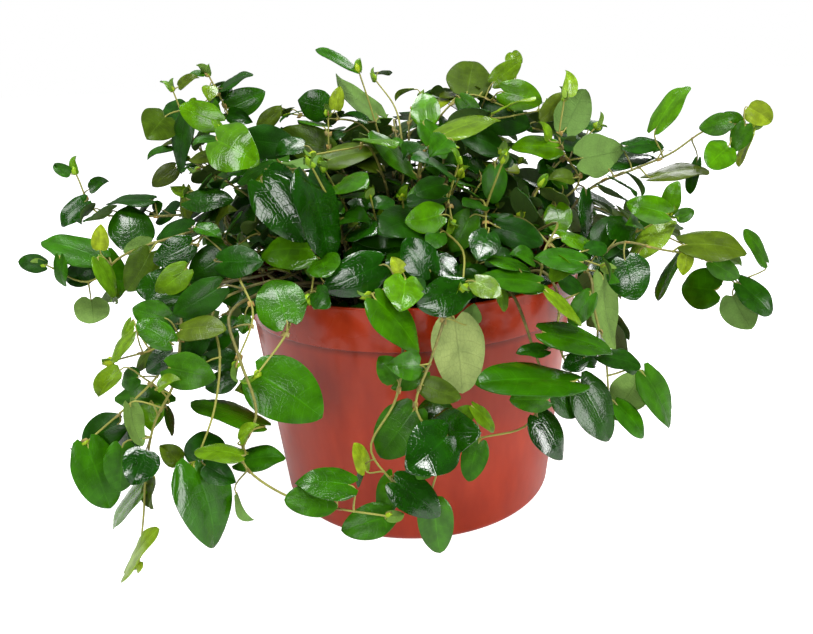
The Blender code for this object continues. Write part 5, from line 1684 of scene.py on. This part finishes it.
YOUNG_LEAF = 13 * MM
YOUNG_FORM_SHARE = 0.7
STALK_RADIUS = 0.34 * MM
STALK_STEPS = 6
STALK_LEAVES = (0.35, 0.12, 0.06)
STALK_STRAIGHT = 0.4
STALK_TUCK = 0.02
STALK_FOOT = 1.3
STALK_TAPER = 0.4
SLIMMEST_STALK = 0.6
FULL_STALK_LEAF = 50 * MM
DARK_STALK_YOUTH = 0.5
LIGHT_STALK_YOUTH = 0.75
YOUTH_SPREAD = (-0.1, 0.2)
BUD_TUCK = 0.3 * MM
BUD_DULLNESS = 0.6
OPENING_TURN = 0.5
OPENING_LEAN = (0.5, 0.9)
OPENING_BREADTH = 0.6
OPENING_DULLNESS = 0.5
STIPULE_LEAN = 0.8
STIPULE_BREADTH = 0.3
STIPULE_DULLNESS = 0.9
EXTRA_CLEARANCE = 0.15 * MM


def pick_young(draw):
    """One of the young blade forms."""
    return MATURE_FORMS + LIGHT_FORMS + draw.randrange(YOUNG_FORMS)


def pick_form(leaf, fine, draw):
    """A blade form for a leaf: often a young one if it is small, else a fine or a lighter one."""
    if leaf.length < YOUNG_LEAF and draw.random() < YOUNG_FORM_SHARE:
        return pick_young(draw)
    return draw.randrange(MATURE_FORMS) if fine else MATURE_FORMS + draw.randrange(LIGHT_FORMS)


def stalk_line(leaf, path):
    """A stalk from the stem to its blade, leaving the stem outwards and bending to the blade."""
    foot = min(path, key=lambda place: (place - leaf.foot).length)
    span = (leaf.base - foot).length
    forward, out, up = STALK_LEAVES
    start = foot + (leaf.base - foot) * forward + leaf.face * (out * span) + Vector((0, 0, up * span))
    end = leaf.base - leaf.along * (STALK_STRAIGHT * span)
    tucked = leaf.base + leaf.along * (STALK_TUCK * leaf.length)
    places = []
    for k in range(STALK_STEPS + 1):
        t = k / STALK_STEPS
        places.append(foot * (1 - t) ** 3 + start * (3 * t * (1 - t) ** 2)
                      + end * (3 * t * t * (1 - t)) + tucked * t ** 3)
    return places


def plan_vine(plan, name, route, leaves, draw):
    """Adds the fine stem through its route, the joints where leaves leave it, and the leaves."""
    path = [route[0]] + smooth_path(route[1:], FINE_STEP)
    feet = {min(range(len(path)), key=lambda k: (path[k] - leaf.foot).length) for leaf, _ in leaves}
    shares = [k / (len(path) - 1) for k in range(len(path))]
    plan.add_line(path, [FOOT_WIDTH + (TIP_WIDTH - FOOT_WIDTH) * share for share in shares], shares, feet)
    tip_growth(plan, path, draw)
    for joint in sorted(feet):
        if draw.random() < STIPULE_SHARE:
            stipules(plan, path, joint, draw)
    for leaf, tone in leaves:
        youth = DARK_STALK_YOUTH if tone in ("d", "g") else LIGHT_STALK_YOUTH
        youth += draw.uniform(*YOUTH_SPREAD)
        slim = STALK_RADIUS * min(1, SLIMMEST_STALK + leaf.length / FULL_STALK_LEAF)
        radii = [slim * (STALK_FOOT - STALK_TAPER * k / STALK_STEPS) for k in range(STALK_STEPS + 1)]
        plan.add_line(stalk_line(leaf, path), radii, [youth] * len(radii))
        plan.add_leaf(leaf, pick_form(leaf, name in SEEN_VINES, draw), toned(tone, draw),
                      glossiness(tone, draw), flipped=tone in ("u", "p"))


def tip_growth(plan, path, draw):
    """The growing tip of a stem: a pointed bud with one or two folded leaves opening beside it."""
    tip = path[-1]
    run = (path[-1] - path[-3]).normalized()
    side = square_to(Vector((draw.uniform(-1, 1), draw.uniform(-1, 1), 0.4)), run)
    length = draw.uniform(*BUD_LENGTH)
    bud = Leaf(tip - run * BUD_TUCK, run, side, length, length * BUD_SLIMNESS, tip)
    plan.add_leaf(bud, BUD_FORM, toned("y", draw), BUD_DULLNESS)
    for turn in (OPENING_TURN, OPENING_TURN + math.pi)[:draw.choice((1, 2))]:
        beside = turned(side, run, turn)
        along = (run + beside * draw.uniform(*OPENING_LEAN)).normalized()
        size = draw.uniform(*TIP_LEAF)
        opening = Leaf(tip, along, square_to(run - beside, along), size, size * OPENING_BREADTH, tip)
        plan.add_leaf(opening, pick_young(draw), toned("l", draw), OPENING_DULLNESS)


def stipules(plan, path, joint, draw):
    """The pair of small dry scales that stays at a joint."""
    place = path[joint]
    run = (path[min(joint + 1, len(path) - 1)] - path[max(joint - 1, 0)]).normalized()
    side = square_to(Vector((draw.uniform(-1, 1), draw.uniform(-1, 1), 0.2)), run)
    for way in (side, -side):
        length = draw.uniform(*STIPULE_LENGTH)
        along = (run + way * STIPULE_LEAN).normalized()
        scale = Leaf(place, along, square_to(way, along), length, length * STIPULE_BREADTH, place)
        plan.add_leaf(scale, BUD_FORM, toned("s", draw), STIPULE_DULLNESS)


def glossiness(tone, draw):
    """0 for the shiniest cuticle and 1 for the dullest."""
    return draw.uniform(*GLOSS.get(tone, USUAL_GLOSS))


def has_room(leaf, name):
    """Whether a blade clears its neighbours by a hair, whatever its stalk does."""
    blade = leaf_solid(leaf, EXTRA_CLEARANCE, stalk=False)
    return room.is_free(*blade, name, same_vine=True) and room.is_free(*blade, name, same_vine=False)


def squeezed(picture, name):
    """A leaf of the front that found no room in the model, where its blade just clears the others."""
    for swing in SWINGS:
        for back in SHIFTS:
            seen_so = pictured_leaf(*picture, back=back * MM, tilt=math.radians(swing))
            leaf = stalked(routes[name], *seen_so)
            if has_room(leaf, name):
                room.add(*leaf_solid(leaf), name)
                return leaf
    return stalked(routes[name], *pictured_leaf(*picture))


routes, placed, unplaced, room = grow()
for picture, name, tone in unplaced:
    placed[name].append((squeezed(picture, name), tone))


# The leaves of the depths and of the far side
#
# The plant is far denser than its outer leaves: more leaves stand along every stem, and short
# shoots fill the crown. They stay behind the leaves of the front and within the crown's outline.

# Where the photo shows leaves without a gap: the crown, then the trailing groups and the arms
LEAFY_OUTLINES = ((
    (150, 190), (178, 165), (148, 140), (152, 112), (185, 95), (215, 80), (262, 92), (300, 98),
    (335, 92), (352, 128), (385, 135), (410, 118), (412, 88), (455, 68), (505, 58), (540, 95),
    (585, 98), (622, 140), (690, 140), (640, 175), (690, 200), (672, 225), (700, 245), (660, 262),
    (632, 262), (625, 300), (600, 300), (572, 312), (548, 295), (500, 296), (430, 306), (380, 300),
    (330, 302), (262, 302), (250, 330), (215, 345), (165, 335), (130, 300), (100, 290), (60, 262),
    (90, 240), (75, 225), (110, 212),
), (
    (108, 330), (240, 332), (245, 380), (215, 400), (160, 410), (120, 420), (98, 385),
), (
    (78, 425), (120, 420), (160, 440), (165, 470), (130, 490), (85, 495), (72, 460),
), (
    (165, 440), (235, 435), (232, 480), (185, 470),
), (
    (515, 340), (600, 320), (640, 350), (672, 410), (610, 430), (560, 435), (520, 400),
), (
    (370, 400), (480, 400), (480, 460), (440, 505), (390, 500), (375, 440),
), (
    (40, 240), (60, 200), (130, 200), (150, 290), (110, 300), (60, 265),
), (
    (700, 115), (760, 108), (750, 150), (705, 165),
), (
    (685, 232), (740, 238), (772, 310), (700, 305),
))
EXTRA_SPACING = 7 * MM
EXTRA_TRIES = 9
EXTRA_SIDE_TRIES = 3
EXTRA_SHRINK = 0.04
EXTRA_BARE = 16 * MM
EXTRA_LEAF = (12 * MM, 25 * MM)
EXTRA_SEED = 5
HIDDEN_TONES = "dddddmmmgo"
BACK_TONES = "ddmmmbbolly"
BEHIND = 2 * MM
FAR = 1.0
INNER_SHOOTS = 44
SHOOT_HEIGHT = (26 * MM, 78 * MM)
SHOOT_LEAN = (0.15, 0.75)
SHOOT_BENDS = (0.2, 0.65)
SHOOT_BOW = 0.35
SHOOT_START = 1
SHOOT_ROOT = 2 * MM


def within(outline, x, y):
    """Whether a picture place is inside an outline: an odd number of its sides lie to the right."""
    sides = zip(outline, outline[1:] + outline[:1])
    return sum((ay > y) != (by > y) and x < ax + (bx - ax) * (y - ay) / (by - ay)
               for (ax, ay), (bx, by) in sides) % 2 == 1


def is_leafy(point):
    """Whether a place is seen where the photo shows leaves without a gap."""
    offset = point - EYE
    depth = offset.dot(LOOK)
    x = PICTURE_MIDDLE[0] + PICTURE_FOCAL * offset.dot(PICTURE_RIGHT) / depth
    y = PICTURE_MIDDLE[1] - PICTURE_FOCAL * offset.dot(PICTURE_UP) / depth
    return any(within(outline, x, y) for outline in LEAFY_OUTLINES)


def joined_tree(shapes):
    """One tree of several shapes."""
    corners, faces = [], []
    for its_corners, its_faces in shapes:
        faces += [tuple(k + len(corners) for k in face) for face in its_faces]
        corners += its_corners
    return BVHTree.FromPolygons(corners, faces)


def keeps_the_picture(leaf, front, cover):
    """Whether a leaf is out of sight, or seen inside the crown and behind the leaves of the front."""
    rim, middle = leaf_sections(leaf, SMALL_OUTLINE)
    for point in rim + [middle]:
        away = point - EYE
        way = away.normalized()
        if cover.ray_cast(EYE, way, away.length - BEHIND)[0]:
            continue
        if not is_leafy(point) or front.ray_cast(point + way * BEHIND, way, FAR)[0]:
            return False
    return True


def extra_leaves(name, route, draw, front, cover):
    """More leaves along a stem, wherever they have room and keep the picture."""
    total = sum((b - a).length for a, b in zip(route, route[1:]))
    leaves = []
    for k in range(int((total - EXTRA_BARE) / EXTRA_SPACING)):
        place, run = along_route(route, EXTRA_BARE + k * EXTRA_SPACING)
        for attempt in range(EXTRA_TRIES):
            side = 1 if (k + attempt // EXTRA_SIDE_TRIES) % 2 else -1
            length = draw.uniform(*EXTRA_LEAF) * (1 - EXTRA_SHRINK * attempt)
            leaf = filling_leaf(draw, place, run, side, length)
            if has_room(leaf, name) and keeps_the_picture(leaf, front, cover):
                leaves.append((leaf, draw.choice(HIDDEN_TONES)))
                room.add(*leaf_solid(leaf), name)
                break
    return leaves


def shoot_route(k, draw):
    """A short shoot that rises from the mix and leans outwards."""
    out = ROOTED_RADIUS * math.sqrt((k + 0.5) / INNER_SHOOTS)
    turn = k * GOLDEN_ANGLE + SHOOT_START
    outward = Vector((math.cos(turn), math.sin(turn), 0))
    height = draw.uniform(*SHOOT_HEIGHT)
    lean = outward * (height * draw.uniform(*SHOOT_LEAN))
    foot = outward * out + Vector((0, 0, MIX_TOP - SHOOT_ROOT))
    up = Vector((0, 0, height))
    first, second = SHOOT_BENDS
    low = foot + up * first
    middle = foot + up * second + lean * SHOOT_BOW
    return smooth_path([foot, low, middle, foot + up + lean], STEM_SEGMENT / 2)


front_leaves = [leaf_solid(leaf) for name in SEEN_VINES for leaf, _ in placed[name]]
front = joined_tree(front_leaves)
cover = joined_tree(front_leaves + [cone_shape(BASE_RADIUS, RIM_RADIUS, 0, POT_HEIGHT)])
chances = random.Random(EXTRA_SEED)
for name, route in routes.items():
    placed[name] += extra_leaves(name, route, chances, front, cover)
shoots = []
for k in range(INNER_SHOOTS):
    route = shoot_route(k, chances)
    shoots.append((route, extra_leaves("inner_shoots", route, chances, front, cover)))

blade_forms = forms()
tree = vine_tree(stem_bark(), blade_forms)
shades = random.Random(FORM_SEED)
for name, route in routes.items():
    plan = Plan()
    leaves = [(leaf, tone or shades.choice(BACK_TONES)) for leaf, tone in placed[name]]
    plan_vine(plan, name, route, leaves, shades)
    vine = apply_tree(name, plan.mesh(name + "_plan"), tree, Sides=STEM_SIDES, Joint=JOINT_SWELL)
    new_piece("leafy_" + name.removeprefix("vine_"), finished(vine, GUIDES), stands_for=[name])
plan = Plan()
for route, leaves in shoots:
    plan_vine(plan, "inner_shoots", route, leaves, shades)
shoots_mesh = apply_tree("shoots", plan.mesh("shoots_plan"), tree, Sides=STEM_SIDES, Joint=JOINT_SWELL)
new_piece("inner_shoots", finished(shoots_mesh, GUIDES))
for form in list(blade_forms.objects):
    bpy.data.objects.remove(form)
bpy.data.collections.remove(blade_forms)


# The studio
#
# A white table and a white room, with soft lights overhead and round it. Most stand high, so
# that the leaves shade the upper part of the pot, as in a picture for a plant catalogue.

FLOOR_SIZE = 6
FLOOR_SHADE = "#d0d0d0"
WHITE = "#ffffff"
FLOOR_GLOW = 0.3
SEEN_GLOW = 1.0

# The soft lights: place, size across in metres, and power in watts
SOFT_LIGHTS = (
    ("overhead", (-0.2, 0.1, 1.3), 0.4, 10),
    ("front_top_right", (0.45, -0.5, 1.25), 0.4, 10),
    ("front_top_left", (-0.3, -0.6, 1.2), 0.3, 5),
    ("front_middle", (-0.18, -0.95, 0.42), 0.35, 3),
    ("left", (-1.1, -0.15, 0.85), 0.4, 3.5),
    ("front_right", (1.1, -0.75, 0.25), 0.45, 9),
    ("behind", (0.5, 1.4, 0.75), 0.6, 5),
)
FRONT_GLOW = 0.04
BACK_GLOW = 0.25
GLOW_TURNS = (-0.3, 0.6)


def white_table():
    """Matt white laminate, lit so evenly that it nearly vanishes."""
    material, tree, shader = new_material("matt_white_laminate", Roughness=0.8)
    shader.inputs["Base Color"].default_value = linear(FLOOR_SHADE)
    shader.inputs["Emission Color"].default_value = linear(WHITE)
    seen = add(tree, "ShaderNodeLightPath").outputs["Is Camera Ray"]
    lit = add(tree, "ShaderNodeMapRange", {0: seen, 3: FLOOR_GLOW, 4: SEEN_GLOW}).outputs[0]
    feed(tree, shader, Emission_Strength=lit)
    return material


floor_mesh = bpy.data.meshes.new("table")
floor_shape = bmesh.new()
bmesh.ops.create_grid(floor_shape, x_segments=1, y_segments=1, size=FLOOR_SIZE)
floor_shape.to_mesh(floor_mesh)
floor_shape.free()
floor = bpy.data.objects.new("table", floor_mesh)
floor_mesh.materials.append(white_table())
bpy.context.scene.collection.objects.link(floor)

for name, place, size, power in SOFT_LIGHTS:
    light = bpy.data.lights.new(name, "AREA")
    light.shape = "DISK"
    light.size = size
    light.energy = power
    lamp = bpy.data.objects.new(name, light)
    lamp.location = place
    lamp.rotation_euler = (EYE_TARGET - Vector(place)).to_track_quat("-Z", "Y").to_euler()
    bpy.context.scene.collection.objects.link(lamp)

world = bpy.data.worlds.new("white_room")
world.use_nodes = True
sky = world.node_tree
sky.nodes.clear()
path = add(sky, "ShaderNodeLightPath").outputs["Is Camera Ray"]
way = add(sky, "ShaderNodeTexCoord").outputs["Generated"]
depth = add(sky, "ShaderNodeSeparateXYZ", {0: way}).outputs["Y"]
glow = add(sky, "ShaderNodeMapRange",
           {0: depth, 1: GLOW_TURNS[0], 2: GLOW_TURNS[1], 3: FRONT_GLOW, 4: BACK_GLOW}).outputs[0]
around = add(sky, "ShaderNodeBackground", {"Color": linear(WHITE), "Strength": glow}).outputs[0]
behind = add(sky, "ShaderNodeBackground", {"Color": linear(WHITE), "Strength": 1.0}).outputs[0]
both = add(sky, "ShaderNodeMixShader", {0: path, 1: around, 2: behind}).outputs[0]
add(sky, "ShaderNodeOutputWorld", {0: both})
bpy.context.scene.world = world
bpy.context.scene.view_settings.view_transform = "Standard"
